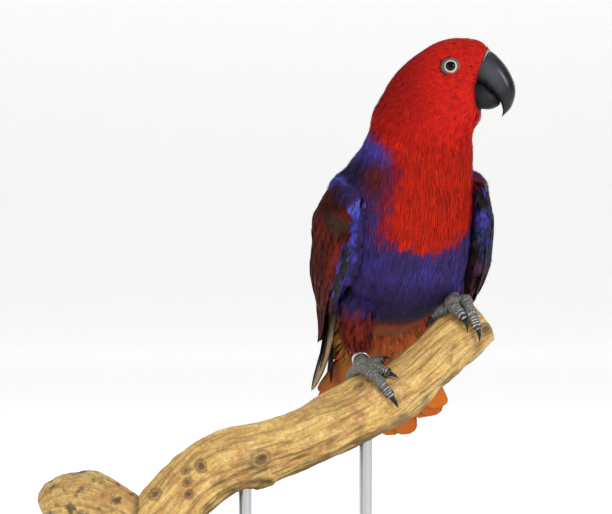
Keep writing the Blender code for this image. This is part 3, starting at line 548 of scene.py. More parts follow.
VIOLET_DARK = np.array((0.026, 0.016, 0.050))
BLUE_VIOLET = np.array((0.060, 0.042, 0.260))
SPOT_BLUE = np.array((0.130, 0.120, 0.650))
DULL_RED = np.array((0.150, 0.017, 0.011))
MAROON = np.array((0.050, 0.0065, 0.0045))
RUST = np.array((0.345, 0.070, 0.018))
OLIVE_RUST = np.array((0.200, 0.085, 0.022))
ORANGE = np.array((0.620, 0.150, 0.024))
# How far the red reaches round from the middle of the breast, in degrees, on the bird's right and left.
RED_HEIGHTS = (216, 221, 224, 228, 233, 243, 253, 264, 274, 280, 285, 290, 295, 301)
RED_REACH_RIGHT = (-30, 0, 17, 31, 41, 40, 35, 31, 29, 34, 44, 58, 82, 190)
RED_REACH_LEFT = (-30, 0, 17, 31, 42, 64, 78, 84, 86, 90, 95, 105, 120, 190)


def squared(values, power):
    """Cosines or sines for a section that is squarer than an ellipse."""
    return np.sign(values) * np.abs(values) ** (2 / power)


def body_axes(rows):
    """The ways across the body, out of its belly and down its spine at rows of BODY."""
    tilt = np.radians(rows[..., 3:4])
    turn = np.radians(rows[..., 4:5])
    nought = np.zeros_like(turn)
    across = np.concatenate([np.cos(turn), np.sin(turn), nought], axis=-1)
    back = np.concatenate([-np.sin(turn), np.cos(turn), nought], axis=-1)
    return across, -back * np.cos(tilt) - UP * np.sin(tilt), back * np.sin(tilt) - UP * np.cos(tilt)


def body_at(places, turns, inset):
    """Points of the body at places down its rows and turns round them, moved in by the inset."""
    rows = curve_at(BODY, places)
    across, belly, _ = body_axes(rows)
    inset = np.asarray(inset)[..., None]
    half_across = np.maximum(rows[..., 5:6] - inset, 0.6)
    half_deep = np.maximum(rows[..., 6:7] - inset, 0.5)
    return (rows[..., :3] + across * half_across * squared(np.cos(turns)[..., None], SECTION_POWER)
            + belly * half_deep * squared(np.sin(turns)[..., None], SECTION_POWER))


def spine_places(points):
    """For each point: the place down the body's rows, the turn round them, and how far out it lies."""
    table = np.linspace(0, len(BODY) - 1, 331)
    rows = curve_at(BODY, table)
    across, belly, down = body_axes(rows)
    best = np.zeros(len(points), int)
    for start in range(0, len(points), BATCH):
        gap = points[start:start + BATCH][:, None] - rows[None, :, :3]
        along = np.abs((gap * down[None]).sum(-1))
        best[start:start + BATCH] = np.argmin(along + 0.12 * np.linalg.norm(gap, axis=-1), axis=1)
    gap = points - rows[best, :3]
    c = (gap * across[best]).sum(-1) / rows[best, 5]
    s = (gap * belly[best]).sum(-1) / rows[best, 6]
    return table[best], np.arctan2(s, c), np.hypot(c, s), down[best]


def toward(tint, colour, share):
    """The tint moved to another colour by a share."""
    return tint + (colour - tint) * np.clip(share, 0, 1)


def spot(points, x, z, half_x, half_z):
    """Shares near a place, as it is seen from the front."""
    return np.exp(-((points[:, 0:1] - x) / half_x) ** 2 - ((points[:, 2:3] - z) / half_z) ** 2)


def plumage(points, places, turns, seed, fringe):
    """The colour of the coat at points of the body; the fringe is how ragged its borders are."""
    rng = np.random.default_rng(seed)
    x = points[:, 0:1]
    z = points[:, 2:3]
    height = points[:, 2] + rng.normal(0, 1.6 * fringe, len(points))
    away = (np.degrees(turns) - 90 + 180) % 360 - 180
    reach = np.where(away > 0, np.interp(height, RED_HEIGHTS, RED_REACH_RIGHT),
                     np.interp(height, RED_HEIGHTS, RED_REACH_LEFT))
    red = ramp(reach - np.abs(away) + rng.normal(0, 4.5 * fringe, len(points)), -9, 7)[:, None]
    lumps = rough(points, 16.0)[:, None]
    grain = rng.normal(0, 1, (len(points), 1))
    past = (places + rng.normal(0, 0.05, len(points)))[:, None]
    places = places[:, None]
    inside = (reach - np.abs(away))[:, None]
    away = away[:, None]
    side = np.abs(away)
    # The red of the head and breast: warm low down, dull along its border, and darkened on the nape as
    # painted shade.
    nape = ramp(-((points - HEAD_MIDDLE) @ FORWARD)[:, None], -4, 26) * ramp(z, 285, 312)
    bright = toward(RED, RED_WARM, ramp(-z, -300, -262))
    bright = toward(bright, RED_NAPE_SHADE, nape * 0.75 + 0.12 * lumps) * (1 + 0.07 * grain)
    bright = toward(RED_EDGE, bright, ramp(inside, -2, 13) + 0.25 * grain)
    # The violet of belly and collar, with a dull red blotch; painted shade darkens its lower front and
    # a place on the shoulder.
    violet = toward(VIOLET, BLUE_VIOLET, 0.35 + 0.8 * lumps + 0.3 * grain)
    # Painted shade on the lower front of the belly.
    violet = toward(violet, VIOLET_DARK, 0.75 * ramp(-z, -206, -186) * ramp(-side, -100, -20))
    blotch = np.exp(-((away - 46) / 17) ** 2 - ((z - 266) / 14) ** 2)
    violet = toward(violet, DULL_RED * 1.15, blotch * 1.05 + 0.16 * grain * blotch)
    shade = np.exp(-((away - 84) / 30) ** 2 - ((z - 270) / 9) ** 2)
    violet = toward(violet, BLUE_VIOLET * 1.7, 0.9 * ramp(z, 272, 280))
    # Painted shade on the shoulder, below the collar.
    violet = toward(violet, VIOLET_DARK * 0.8, shade * (0.85 + 0.5 * lumps + 0.3 * grain))
    violet = toward(violet, MAROON, ramp(side, 95, 125) * ramp(-z, -262, -244))
    # The rust and olive round the vent.
    under = toward(DULL_RED * 1.3, RUST, ramp(places, 12.95, 13.35))
    under = toward(under, OLIVE_RUST, np.clip(0.3 + 1.2 * lumps, 0, 1) * ramp(places, 12.9, 13.2))
    violet = toward(violet, under, ramp(past, 12.72, 12.95) * ramp(-side, -120, -80))
    # The dusky feathers that lie over the wings, and the bright fleck at the bend of the right one.
    over_wings = np.maximum(ramp(-x, -17, -10), ramp(x, 88.8, 91.2)) * ramp(-z, -277, -271)
    dusky = MAROON * (1.2 + 0.5 * grain) + (VIOLET_DARK - MAROON) * np.clip(0.2 + lumps, 0, 1)
    tint = toward(toward(violet, bright, red), dusky, over_wings)
    fleck = 1.5 * spot(points, 10.8, 261.0, 4.4, 3.6) * (points[:, 1:2] < 25)
    return np.clip(toward(tint, SPOT_BLUE, fleck), 0, 1)


def give_tint(made, colours):
    """Stores a colour for each point of a piece."""
    layer = made.data.color_attributes.new(name="tint", type="FLOAT_COLOR", domain="POINT")
    rgba = np.ones((len(colours), 4), np.float32)
    rgba[:, :3] = colours
    layer.data.foreach_set("color", rgba.ravel())


class Wing:
    """The outer surface of a folded wing, from 0 at the shoulder to 1 at the tip and from 0 at its
    lower front edge to 1 along the back."""

    def __init__(self, lower, back, bulge, side):
        self.lower = lower
        self.back = back
        self.bulge = [(value,) for value in bulge]
        self.side = side

    def out(self, along):
        place = np.minimum(along * (len(self.lower) - 1), len(self.lower) - 2.2)
        chord = curve_at(self.back, place) - curve_at(self.lower, place)
        level = np.stack([-chord[..., 1], chord[..., 0], 0 * chord[..., 0]], axis=-1)
        return unit(level) * self.side

    def point(self, along, across):
        along = np.clip(along, 0.0, 1.0)
        place = along * (len(self.lower) - 1)
        lower = curve_at(self.lower, place)
        back = curve_at(self.back, place)
        arch = np.sin(math.pi * np.clip(across, 0.0, 1.0)) ** 0.85
        bulge = curve_at(self.bulge, place)[..., 0] * arch
        return lower + (back - lower) * across[..., None] + self.out(along) * bulge[..., None]

    def normal(self, along, across):
        step = 0.01
        run = self.point(along + step, across) - self.point(along - step, across)
        over = (self.point(along, np.clip(across + step, 0.03, 0.97))
                - self.point(along, np.clip(across - step, 0.0, 0.94)))
        normal = unit(np.cross(over, run)) * self.side
        facing = (normal * self.out(along)).sum(-1, keepdims=True)
        return np.where(facing > -0.2, normal, -normal)

    def lies(self, points):
        """For points near the wing: their places along it and across it, and the run to its tip."""
        along, across = np.meshgrid(np.linspace(0, 0.7, 71), np.linspace(0, 1, 31), indexing="ij")
        grid = self.point(along, across)
        runs = unit(np.gradient(grid, axis=0)).reshape(-1, 3)
        tree = KDTree(along.size)
        for i, place in enumerate(grid.reshape(-1, 3).tolist()):
            tree.insert(place, i)
        tree.balance()
        found = [tree.find(point)[1] for point in points.tolist()]
        return along.ravel()[found], across.ravel()[found], runs[found]


def arm_plate(wing):
    """The arm and skin of a folded wing as a closed plate."""
    along, across = np.meshgrid(np.linspace(0.005, ARM_ENDS, 30), np.linspace(0.02, 0.98, 18), indexing="ij")
    outer = wing.point(along, across) - wing.normal(along, across) * ARM_SINKS
    depth = curve_at([(value,) for value in WING_DEPTH], along * (len(WING_DEPTH) - 1))[..., 0]
    depth = np.maximum(depth * (0.2 + 0.8 * np.sin(math.pi * across)), 1.6)
    inner = outer - wing.out(along) * depth[..., None]
    ring = np.concatenate([outer, inner[:, ::-1]], axis=1)
    return with_caps(ring, *ring.shape[:2])


def past_bed(points):
    """How far points lie in front of the bed that the bill stands in."""
    bed = np.interp(points[..., 2], BILL_BED_HEIGHTS, BILL_BED_FORWARD, left=99, right=99)
    return (points - HEAD_MIDDLE) @ FORWARD - bed


def body_loft():
    """The body from crown to tail root, its front cut back to the bill's bed."""
    places, turns = np.meshgrid(np.linspace(0.0, len(BODY) - 1, BODY_RINGS),
                                np.arange(BODY_SIDES) * 2 * math.pi / BODY_SIDES, indexing="ij")
    points = body_at(places, turns, np.interp(places, COAT_DEPTH_PLACES, COAT_DEPTHS))
    points[..., 2] = np.where(places == 0, BODY[0][2] - COAT_DEPTHS[0], points[..., 2])
    points = points - FORWARD * np.maximum(past_bed(points), 0)[..., None]
    return with_caps(points, *places.shape)


def thigh_loft(rows):
    """A thigh under its coat."""
    fine = curve_at(rows, np.linspace(0, len(rows) - 1, 40))
    rings, _ = tube_rings(fine[:, :3], np.maximum(fine[:, 3] - 2.2, 3.2), 40)
    return with_caps(rings, 40, 40)


def make_skin(wings):
    """Joins body, thighs and arms into one surface and evens it out."""
    parts = [body_loft()] + [thigh_loft(rows) for rows in THIGHS] + [arm_plate(wing) for wing in wings]
    made = mesh_object("skin", *joined(parts))
    remesh = made.modifiers.new("joined", "REMESH")
    remesh.mode = "VOXEL"
    remesh.voxel_size = SKIN_CELL * MM
    made.modifiers.new("evened", "SMOOTH").iterations = SKIN_SMOOTHING
    bpy.context.view_layer.update()
    seen = made.evaluated_get(bpy.context.evaluated_depsgraph_get())
    mesh = bpy.data.meshes.new_from_object(seen)
    made.modifiers.clear()
    made.data = mesh
    mesh.shade_smooth()
    return made


right_wing = Wing(**RIGHT_WING)
left_wing = Wing(**LEFT_WING)
skin = make_skin((right_wing, left_wing))
skin_points = read_vectors(skin.data, "co") / MM
skin_ways = read_vectors(skin.data, "normal")
skin_places, skin_turns, skin_far, _ = spine_places(skin_points)


def thigh_tint(points):
    """Violet above and dull red towards the ankle."""
    rng = np.random.default_rng(5)
    height = points[:, 2] + rng.normal(0, 2.0, len(points))
    limit = np.where(points[:, 0] < 48, 183.5, 203.0)
    lumps = 0.3 + 0.8 * rough(points, 9.0)[:, None]
    violet = toward(VIOLET, BLUE_VIOLET, lumps)
    red = toward(DULL_RED * 1.9, MAROON * 1.6, lumps)
    return toward(violet, red, ramp(limit - height, -5, 6)[:, None])


def thigh_share(points):
    """How near each point is to a thigh's outside, at most 1 on it."""
    nearest = np.full(len(points), 9.0)
    run = np.zeros_like(points)
    for rows in THIGHS:
        fine = curve_at(rows, np.linspace(0, len(rows) - 1, 60))
        gap = np.linalg.norm(points[:, None] - fine[None, :, :3], axis=-1) / fine[None, :, 3]
        at = gap.argmin(axis=1)
        near = gap.min(axis=1)
        way = unit(np.gradient(fine[:, :3], axis=0))[at]
        run = np.where((near < nearest)[:, None], way, run)
        nearest = np.minimum(nearest, near)
    return nearest, run


def coat_colours(points, places, turns, far, seed=3, fringe=1.0):
    """The colour of the coat anywhere on the skin."""
    body = plumage(points, places, turns, seed, fringe)
    near, _ = thigh_share(points)
    on_thigh = (far > 1.02) & (near < 1.6)
    on_wing = (far > 1.02) & ~on_thigh
    body = np.where(on_thigh[:, None], thigh_tint(points), body)
    return np.where(on_wing[:, None], MAROON[None], body)


def plumage_finish(name, roughness, gloss, shade):
    """Feather barbs: the tint of the place, broken by fine streaks that run with the feather."""
    made, tree, shader = new_material(name, roughness)
    streaks = noise_at(tree, stretched(tree, stored(tree, "barbs", "Vector"), (0.5, 3.2, 1.0)), 1.0, 3.0, 0.6)
    shades = spread(tree, streaks, 0.3, 0.7, 1 - shade, 1 + shade)
    colour = mixed(tree, 1.0, stored(tree, "tint", "Color"), shades, "MULTIPLY")
    finish_with(tree, shader, colour, streaks, 0.35, 0.0003)
    shader.inputs["Specular IOR Level"].default_value = gloss
    return made


soft_feather = plumage_finish("soft contour feathers", 0.72, 0.10, 0.16)
# The skin is darkened as painted shade under the coat, less so on the face at the bill.
skin_painted_shade = 0.55 + 0.35 * ramp(-skin_places, -5.0, -3.5)[:, None]
give_tint(skin, coat_colours(skin_points, skin_places, skin_turns, skin_far, fringe=0.3) * skin_painted_shade)
give_places(skin, "barbs", skin_points)
skin.data.materials.append(soft_feather)
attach(skin, "root")
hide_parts("head", "neck", "torso", "thigh_right", "thigh_left")


# Eyes
# Dark pupils in a narrow cream iris under a clear, wet cornea, each held by a bare ring of
# grey-blue skin that lies in fine folds.

EYE_HEIGHT = 334.6
EYE_FORWARD = 5.8
EYE_RADIUS = 5.6
EYE_OPENING = 4.4
IRIS_RADIUS = 4.15
PUPIL_RADIUS = 3.05
RIM_WIDE = 5.6
RIM_TALL = 5.0
IRIS = (0.62, 0.55, 0.36)
EYE_WHITE = (0.05, 0.045, 0.04)
PUPIL = (0.001, 0.001, 0.001)
RIM_PALE = (0.10625, 0.11875, 0.143)
RIM_DARK = (0.051, 0.057, 0.0715)
GLOBE_RINGS = 72
GLOBE_SIDES = 64
RIM_SIDES = 72
CORNEA_RISE = 0.35
# The rim's section as pairs of radius and height over the opening.
RIM_PROFILE = ((4.05, 0.15), (4.10, 0.45), (4.35, 0.75), (4.65, 0.82), (4.95, 0.62), (5.2, 0.50), (5.5, 0.42),
               (5.75, 0.15), (6.1, -0.5), (6.5, -1.6), (4.6, -1.6), (4.2, -0.6))


def eye_place(side):
    """The middle of the opening between the lids, and the way the eye looks; side is 1 on the right."""
    table = np.linspace(0, 8, 1601)
    rows = curve_at(BODY, table)
    at = int(np.argmax(rows[:, 2] <= EYE_HEIGHT))
    share = EYE_FORWARD / rows[at, 5]
    out = rows[at, 6] * math.sqrt(1 - share * share) - 0.5
    middle = rows[at, :3] + FORWARD * EYE_FORWARD + RIGHT_SIDE * out * side
    look = unit((RIGHT_SIDE * side + FORWARD * 0.16 + UP * 0.08)[None])[0]
    return middle, look


def eye_axes(side):
    """The eye's middle, and its ways out, level and upright."""
    middle, look = eye_place(side)
    level = unit(np.cross(look, UP)[None])[0] * side
    return middle, look, -level, np.cross(look, level) * side


def turned_rings(profile, sides, middle, look, level, upright):
    """Rings of points turned round the way look, from pairs of radius and height."""
    turns = np.arange(sides) * 2 * math.pi / sides
    return np.array([middle + look * height + level * (np.cos(turns) * radius)[:, None]
                     + upright * (np.sin(turns) * radius)[:, None] for radius, height in profile])


def ring_faces(rows, columns):
    """The faces of a tube that closes on itself both ways."""
    j = np.arange(columns)
    k = (j + 1) % columns
    last = (rows - 1) * columns
    return np.concatenate([grid_faces(rows, columns), np.stack([last + j, last + k, k, j], axis=-1)])


def eye_finish():
    """The iris and pupil as rings of colour, finely specked, under a wet coat."""
    made, tree, shader = new_material("wet eye", 0.12)
    shades = spread(tree, noise_at(tree, place_of(tree), 1600.0), 0.0, 1.0, 0.82, 1.15)
    colour = mixed(tree, 1.0, stored(tree, "tint", "Color"), shades, "MULTIPLY")
    tree.links.new(colour, shader.inputs["Base Color"])
    shader.inputs["Specular IOR Level"].default_value = 0.0
    shader.inputs["Coat Weight"].default_value = 0.6
    shader.inputs["Coat IOR"].default_value = 1.40
    shader.inputs["Coat Roughness"].default_value = 0.02
    return made


def rim_finish():
    """Grey skin in fine folds."""
    made, tree, shader = new_material("bare eye skin", 0.55)
    folds = add_node(tree, "ShaderNodeTexVoronoi", [("Vector", place_of(tree)), ("Scale", 1500.0)])
    shades = colours_along(tree, folds.outputs["Distance"], (0.0, RIM_PALE), (1.0, RIM_DARK))
    finish_with(tree, shader, shades, folds.outputs["Distance"], 0.5, 0.0002)
    return made


def make_eye(name, side, globe_finish, skin_finish):
    """The globe with its bulged cornea, and the bare rim that holds it."""
    middle, look, level, upright = eye_axes(side)
    centre = middle - look * math.sqrt(EYE_RADIUS ** 2 - EYE_OPENING ** 2)
    profile = []
    colours = []
    for turn in np.linspace(0.01, math.pi - 0.01, GLOBE_RINGS):
        radius = EYE_RADIUS * math.sin(turn)
        height = EYE_RADIUS * math.cos(turn)
        if turn < math.pi / 2:
            height += CORNEA_RISE * math.exp(-(radius / 3.0) ** 4)
        profile.append((radius, height))
        if turn > math.pi / 2 or radius > IRIS_RADIUS + 0.25:
            colours.append(EYE_WHITE)
        elif radius > PUPIL_RADIUS:
            edge = (radius - PUPIL_RADIUS) / (IRIS_RADIUS - PUPIL_RADIUS)
            colours.append(np.array(IRIS) * (1.0 - 0.35 * max(0.0, edge - 0.75) / 0.25))
        else:
            colours.append(PUPIL)
    rings = turned_rings(profile, GLOBE_SIDES, centre, look, level, upright)
    globe = mesh_object(name + "_globe", *with_caps(rings, GLOBE_RINGS, GLOBE_SIDES))
    tints = np.repeat(np.array(colours), GLOBE_SIDES, axis=0)
    give_tint(globe, np.concatenate([tints, [colours[0]], [colours[-1]]]))
    globe.data.materials.append(globe_finish)
    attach(globe, "root")
    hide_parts(name)
    turns = np.arange(RIM_SIDES) * 2 * math.pi / RIM_SIDES
    rings = []
    for radius, height in RIM_PROFILE:
        share = np.clip((radius - 4.1) / 1.6, 0, 1)
        wide = 1 + (RIM_WIDE / 5.75 - 1 + 0.05 * np.maximum(np.cos(turns), 0)) * share
        tall = 1 + (RIM_TALL / 5.75 - 1) * share
        crease = 0.07 * np.sin(turns * 23 + radius * 4) * np.exp(-((radius - 5.0) / 0.6) ** 2)
        rings.append(middle + look * (height + crease)[:, None]
                     + level * (np.cos(turns) * radius * wide)[:, None]
                     + upright * (np.sin(turns) * radius * tall)[:, None])
    rim = mesh_object(name + "_rim", np.array(rings), ring_faces(len(RIM_PROFILE), RIM_SIDES))
    rim.data.materials.append(skin_finish)
    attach(rim, "root")


wet = eye_finish()
bare = rim_finish()
make_eye("eye_right", 1, wet, bare)
make_eye("eye_left", -1, wet, bare)


# Bill
# Two halves of black horn over bone, the upper one hooked, smooth and glossy, with faint growth
# lines. A pale thread of soft skin edges it where the forehead's feathers begin.

# Outlines as pairs of how far in front of the head's middle and how high, from the bill's base to its tip.
CULMEN = ((21.5, 346.5), (28.0, 344.5), (33.7, 339.2), (38.2, 332.9), (41.3, 326.1), (42.3, 320.6),
          (41.5, 315.1), (39.1, 309.6), (34.3, 304.8))
UPPER_EDGE = ((16.5, 325.5), (22.6, 323.3), (25.8, 321.2), (28.6, 318.8), (31.2, 316.2), (33.3, 313.5),
              (34.3, 310.8), (34.7, 307.9), (34.0, 304.4))
UPPER_HALF_WIDTHS = (9.2, 9.4, 9.4, 8.7, 7.6, 6.3, 4.8, 3.0, 0.5)
LOWER_TOP = ((16.5, 327.0), (22.6, 325.2), (25.4, 323.1), (28.3, 320.6), (30.8, 318.0), (32.7, 315.2))
LOWER_BOTTOM = ((17.5, 310.2), (22.9, 309.5), (26.1, 309.4), (29.0, 310.1), (31.5, 311.3), (32.8, 312.4))
LOWER_HALF_WIDTHS = (8.8, 8.8, 8.3, 7.0, 4.8, 1.5)
HORN = (0.005, 0.005, 0.006)
HORN_WORN = (0.022, 0.024, 0.029)
# A paler grey painted as sheen, partly wear, along the sides of the bill.
HORN_SHEEN_AND_WEAR = (0.085, 0.090, 0.110)
THREAD_DARK = (0.36, 0.31, 0.20)
THREAD_PALE = (0.66, 0.60, 0.45)
UPPER_POWER = 2.3
LOWER_POWER = 2.6
BILL_RINGS = 90
BILL_SIDES = 64
THREAD_RINGS = 60
THREAD_SIDES = 12


def head_point(forward, height):
    """Points on the head's middle plane."""
    return HEAD_MIDDLE + np.multiply.outer(forward, FORWARD) + np.multiply.outer(height, UP)


def horn_finish(name, smooth, gloss):
    """Black horn, greyer in random worn patches and along a band of paler grey painted as sheen,
    partly wear, from a roughness up.
    """
    made, tree, shader = new_material(name, smooth)
    worn = noise_at(tree, place_of(tree), 190.0, 6.0, 0.62)
    shades = colours_along(tree, worn, (0.38, HORN), (0.78, HORN_WORN))
    # The band carried by the worn number: painted sheen, partly wear.
    colour = mixed(tree, stored(tree, "worn", "Fac"), shades, HORN_SHEEN_AND_WEAR)
    finish_with(tree, shader, colour, worn, 0.12, 0.0004)
    tree.links.new(spread(tree, worn, 0.0, 1.0, smooth, smooth + 0.18), shader.inputs["Roughness"])
    shader.inputs["Specular IOR Level"].default_value = gloss
    return made


def make_bill(name, tops, bottoms, half_widths, power, sheen_and_wear, finish):
    """A half of the bill from its outlines, with faint growth lines across it."""
    places = np.linspace(0, len(tops) - 1, BILL_RINGS)
    top = curve_at(tops, places)
    low = curve_at(bottoms, places)
    half = curve_at([(width,) for width in half_widths], places)[:, 0]
    turns = np.arange(BILL_SIDES) * 2 * math.pi / BILL_SIDES
    c = squared(np.cos(turns), power)
    s = squared(np.sin(turns), power)
    upper = head_point(top[:, 0], top[:, 1])
    under = head_point(low[:, 0], low[:, 1])
    middle = (upper + under) / 2
    lines = 1 + 0.0022 * np.sin(places * 19.0) * np.clip(places, 0, 1)
    rings = (middle[:, None] + ((upper - under) / 2)[:, None] * (c[None] * lines[:, None])[..., None]
             + RIGHT_SIDE * (half[:, None] * s[None] * lines[:, None])[..., None])
    made = mesh_object(name + "_horn", *with_caps(rings, BILL_RINGS, BILL_SIDES))
    # A band along the middle of each side near the base: painted sheen, partly wear.
    worn = np.exp(-((c[None] - 0.1) / 0.5) ** 2) * ramp(-places, -5.0, -2.0)[:, None] * sheen_and_wear
    give_numbers(made, "worn", np.concatenate([worn.ravel(), [0, 0]]))
    made.data.materials.append(finish)
    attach(made, "root")
    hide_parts(name)


def make_bill_thread():
    """The pale thread of skin over the top and sides of the bill's base."""
    turns = np.linspace(-1.25, 1.25, THREAD_RINGS)
    middle = (CULMEN[1][1] + UPPER_EDGE[1][1]) / 2
    half = (CULMEN[1][1] - UPPER_EDGE[1][1]) / 2
    height = middle + half * squared(np.cos(turns), UPPER_POWER) + 0.5
    forward = np.interp(height, BILL_BED_HEIGHTS, BILL_BED_FORWARD) + 0.9
    right = UPPER_HALF_WIDTHS[1] * squared(np.sin(turns), UPPER_POWER) * 1.03
    path = head_point(forward, height) + right[:, None] * RIGHT_SIDE
    radii = 0.55 * np.clip(1.3 - np.abs(turns) / 1.15, 0.25, 1.0)
    run = unit(np.gradient(path, axis=0))
    first = unit(FORWARD - run * (run @ FORWARD)[:, None])
    second = np.cross(run, first)
    around = np.arange(THREAD_SIDES) * 2 * math.pi / THREAD_SIDES
    rings = path[:, None] + radii[:, None, None] * (
        first[:, None] * np.cos(around)[None, :, None] + second[:, None] * np.sin(around)[None, :, None])
    made = mesh_object("bill_thread", *with_caps(rings, THREAD_RINGS, THREAD_SIDES))
    pale, tree, shader = new_material("pale bill skin", 0.5)
    shades = colours_along(tree, noise_at(tree, place_of(tree), 900.0), (0.0, THREAD_DARK), (1.0, THREAD_PALE))
    tree.links.new(shades, shader.inputs["Base Color"])
    made.data.materials.append(pale)
    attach(made, "root")


horn = horn_finish("black horn", 0.24, 0.30)
dull_horn = horn_finish("dull black horn", 0.42, 0.16)
make_bill("bill_upper", CULMEN, UPPER_EDGE, UPPER_HALF_WIDTHS, UPPER_POWER, 0.75, horn)
make_bill("bill_lower", LOWER_TOP, LOWER_BOTTOM, LOWER_HALF_WIDTHS, LOWER_POWER, 0.1, dull_horn)
make_bill_thread()


# Feet, claws and leg band
# Grey scaled skin: small scales on the shank and palm, and overlapping plates along the top of the
# toes, pale-edged towards the claws. The claws are black horn, and a plain steel ring closes round
# the right shank.

PALM_RADIUS = 5.6
TOE_RADII = (4.2, 3.0)
CLAW_RADIUS = 1.55
# Each toe: x and turn round the branch at its root and at its end, and how far its claw goes on in both.
RIGHT_TOES = ((30.0, 14, 34.0, 84, 1.0, 24), (33.0, 14, 40.5, 48, 3.0, 14), (34.0, -8, 45.0, -16, 5.0, -2),
              (26.0, -26, 21.0, -80, -2.0, -26))
LEFT_TOES = ((86.5, 12, 84.5, 52, -3.0, 26), (94.0, 8, 88.0, 84, -3.0, 24), (84.0, -8, 77.0, -18, -5.5, -6),
             (88.0, -24, 88.0, -80, 0.5, -28))
RIGHT_PALM_AT = 30.5
LEFT_PALM_AT = 88.0
PLATE_LENGTH = 1.9
BAND_PLACE = 0.58
BAND_INNER = 4.45
BAND_OUTER = 5.7
BAND_HALF = 2.0
FOOT_GREY = (0.105, 0.100, 0.088)
FOOT_DARK = (0.020, 0.019, 0.018)
FOOT_PALE = (0.50, 0.49, 0.44)
BAND_METAL = (0.72, 0.71, 0.69, 1.0)
TOE_RINGS = 110
TOE_ROOT_RINGS = 8
TOE_SIDES = 32
SHANK_RINGS = 60
SHANK_SIDES = 40
SHANK_RADII = (3.6, 4.5, 3.8, 3.9, 3.9)
PALM_RINGS = 40
PALM_SIDES = 48
CLAW_RINGS = 44
CLAW_SIDES = 28
BAND_ROWS = 24
BAND_SIDES = 96
branch_table = curve_at(BRANCH, np.linspace(0, len(BRANCH) - 1, 2401))
branch_runs = unit(np.gradient(branch_table[:, :3], axis=0))


def branch_rows(x):
    """The rows of the branch's table that lie nearest to each x."""
    return np.abs(branch_table[:, 0][None] - np.asarray(x, float).reshape(-1, 1)).argmin(axis=1)


def on_branch(x, turn, height):
    """Points above the branch: turn is 0 on its top and 90 degrees on the side the bird faces."""
    at = branch_rows(x)
    run = branch_runs[at]
    top = unit(UP - run * (run @ UP)[:, None])
    front = np.cross(run, top)
    turn = np.radians(np.asarray(turn, float).reshape(-1, 1))
    out = top * np.cos(turn) + front * np.sin(turn)
    return branch_table[at, :3] + out * (branch_table[at, 3:4] + np.asarray(height, float).reshape(-1, 1))


def toe_path(toe, shares):
    """Points along a toe at shares of its length, over 1 in its claw."""
    x0, turn0, x1, turn1, claw_x, claw_turn = toe
    shares = np.asarray(shares, float)
    over = np.maximum(shares - 1, 0)
    inside = np.minimum(shares, 1)
    x = x0 + (x1 - x0) * inside + claw_x * over
    turn = turn0 + (turn1 - turn0) * inside + claw_turn * over
    radius = TOE_RADII[0] + (TOE_RADII[1] - TOE_RADII[0]) * inside
    toe_height = radius + 0.45 + 0.5 * np.sin(math.pi * inside)
    claw_height = TOE_RADII[1] + 0.45 + 1.02 * np.sin(math.pi * over) - 2.2 * over ** 2
    return on_branch(x, turn, np.where(shares <= 1, toe_height, claw_height))


def scale_finish():
    """Skin in small raised scales with darker lines between them."""
    made, tree, shader = new_material("scaled foot skin", 0.5)
    scales = add_node(tree, "ShaderNodeTexVoronoi", [("Vector", place_of(tree)), ("Scale", 900.0)],
                      feature="DISTANCE_TO_EDGE").outputs["Distance"]
    shades = spread(tree, scales, 0.0, 0.20, 3.0, 0.52)
    colour = mixed(tree, 1.0, stored(tree, "tint", "Color"), shades, "MULTIPLY")
    finish_with(tree, shader, colour, scales, 0.6, 0.0005)
    return made


def toe_skin(toe, palm):
    """A toe with its plates: its closed tube and the tint of each point."""
    on_toe = toe_path(toe, np.linspace(0, 1, TOE_RINGS - TOE_ROOT_RINGS))
    start = palm + (on_toe[0] - palm) * np.linspace(0.25, 0.9, TOE_ROOT_RINGS)[:, None]
    path = np.concatenate([start, on_toe])
    length = np.concatenate([[0], np.cumsum(np.linalg.norm(np.diff(path, axis=0), axis=1))])
    share = length / length[-1]
    pads = 1 + 0.06 * np.cos(2 * math.pi * share * 3)
    radii = (TOE_RADII[0] + (TOE_RADII[1] - TOE_RADII[0]) * share) * pads - 0.15
    radii = radii * np.sqrt(np.clip(1 - np.clip((share - 0.93) / 0.07, 0, 1) ** 2 * 0.75, 0.1, 1))
    away = unit(path - branch_table[branch_rows(path[:, 0]), :3])
    run = unit(np.gradient(path, axis=0))
    top = unit(away - run * (away * run).sum(-1, keepdims=True))
    side = np.cross(run, top)
    turns = np.arange(TOE_SIDES) * 2 * math.pi / TOE_SIDES
    upper = np.clip(np.cos(turns), 0, 1) ** 0.6
    phase = length / PLATE_LENGTH + 0.3 * np.sin(length * 0.7 + toe[0])
    phase = phase[:, None] + 0.12 * np.cos(turns * 2)[None]
    plate = phase - np.floor(phase)
    groove = np.exp(-(np.minimum(plate, 1 - plate) / 0.16) ** 2)
    rise = upper[None] * (0.42 * plate - 0.30 * groove) + (1 - upper[None]) * 0.12 * np.sin(
        (length * 2.4)[:, None] + turns[None] * 5)
    out = top[:, None] * np.cos(turns)[None, :, None] + side[:, None] * np.sin(turns)[None, :, None]
    rings = path[:, None] + out * (radii[:, None] + rise)[..., None]
    distal = ramp(share, 0.6, 0.95)[:, None]
    patchy = 0.75 + 0.9 * rough(rings, 1.6)
    pale = np.clip(groove * patchy * (0.10 + 0.85 * distal) * upper[None] ** 0.5, 0, 1)[..., None]
    base = np.array(FOOT_GREY) * (1 - 0.78 * distal)[..., None]
    tint = toward(base, np.array(FOOT_PALE), pale)
    return (*with_caps(rings, TOE_RINGS, TOE_SIDES),
            np.concatenate([tint.reshape(-1, 3), [FOOT_GREY, FOOT_DARK]]))


def palm_middle(x):
    """The middle of a foot's palm on the branch."""
    return on_branch(x, 2, PALM_RADIUS + 0.5)[0]


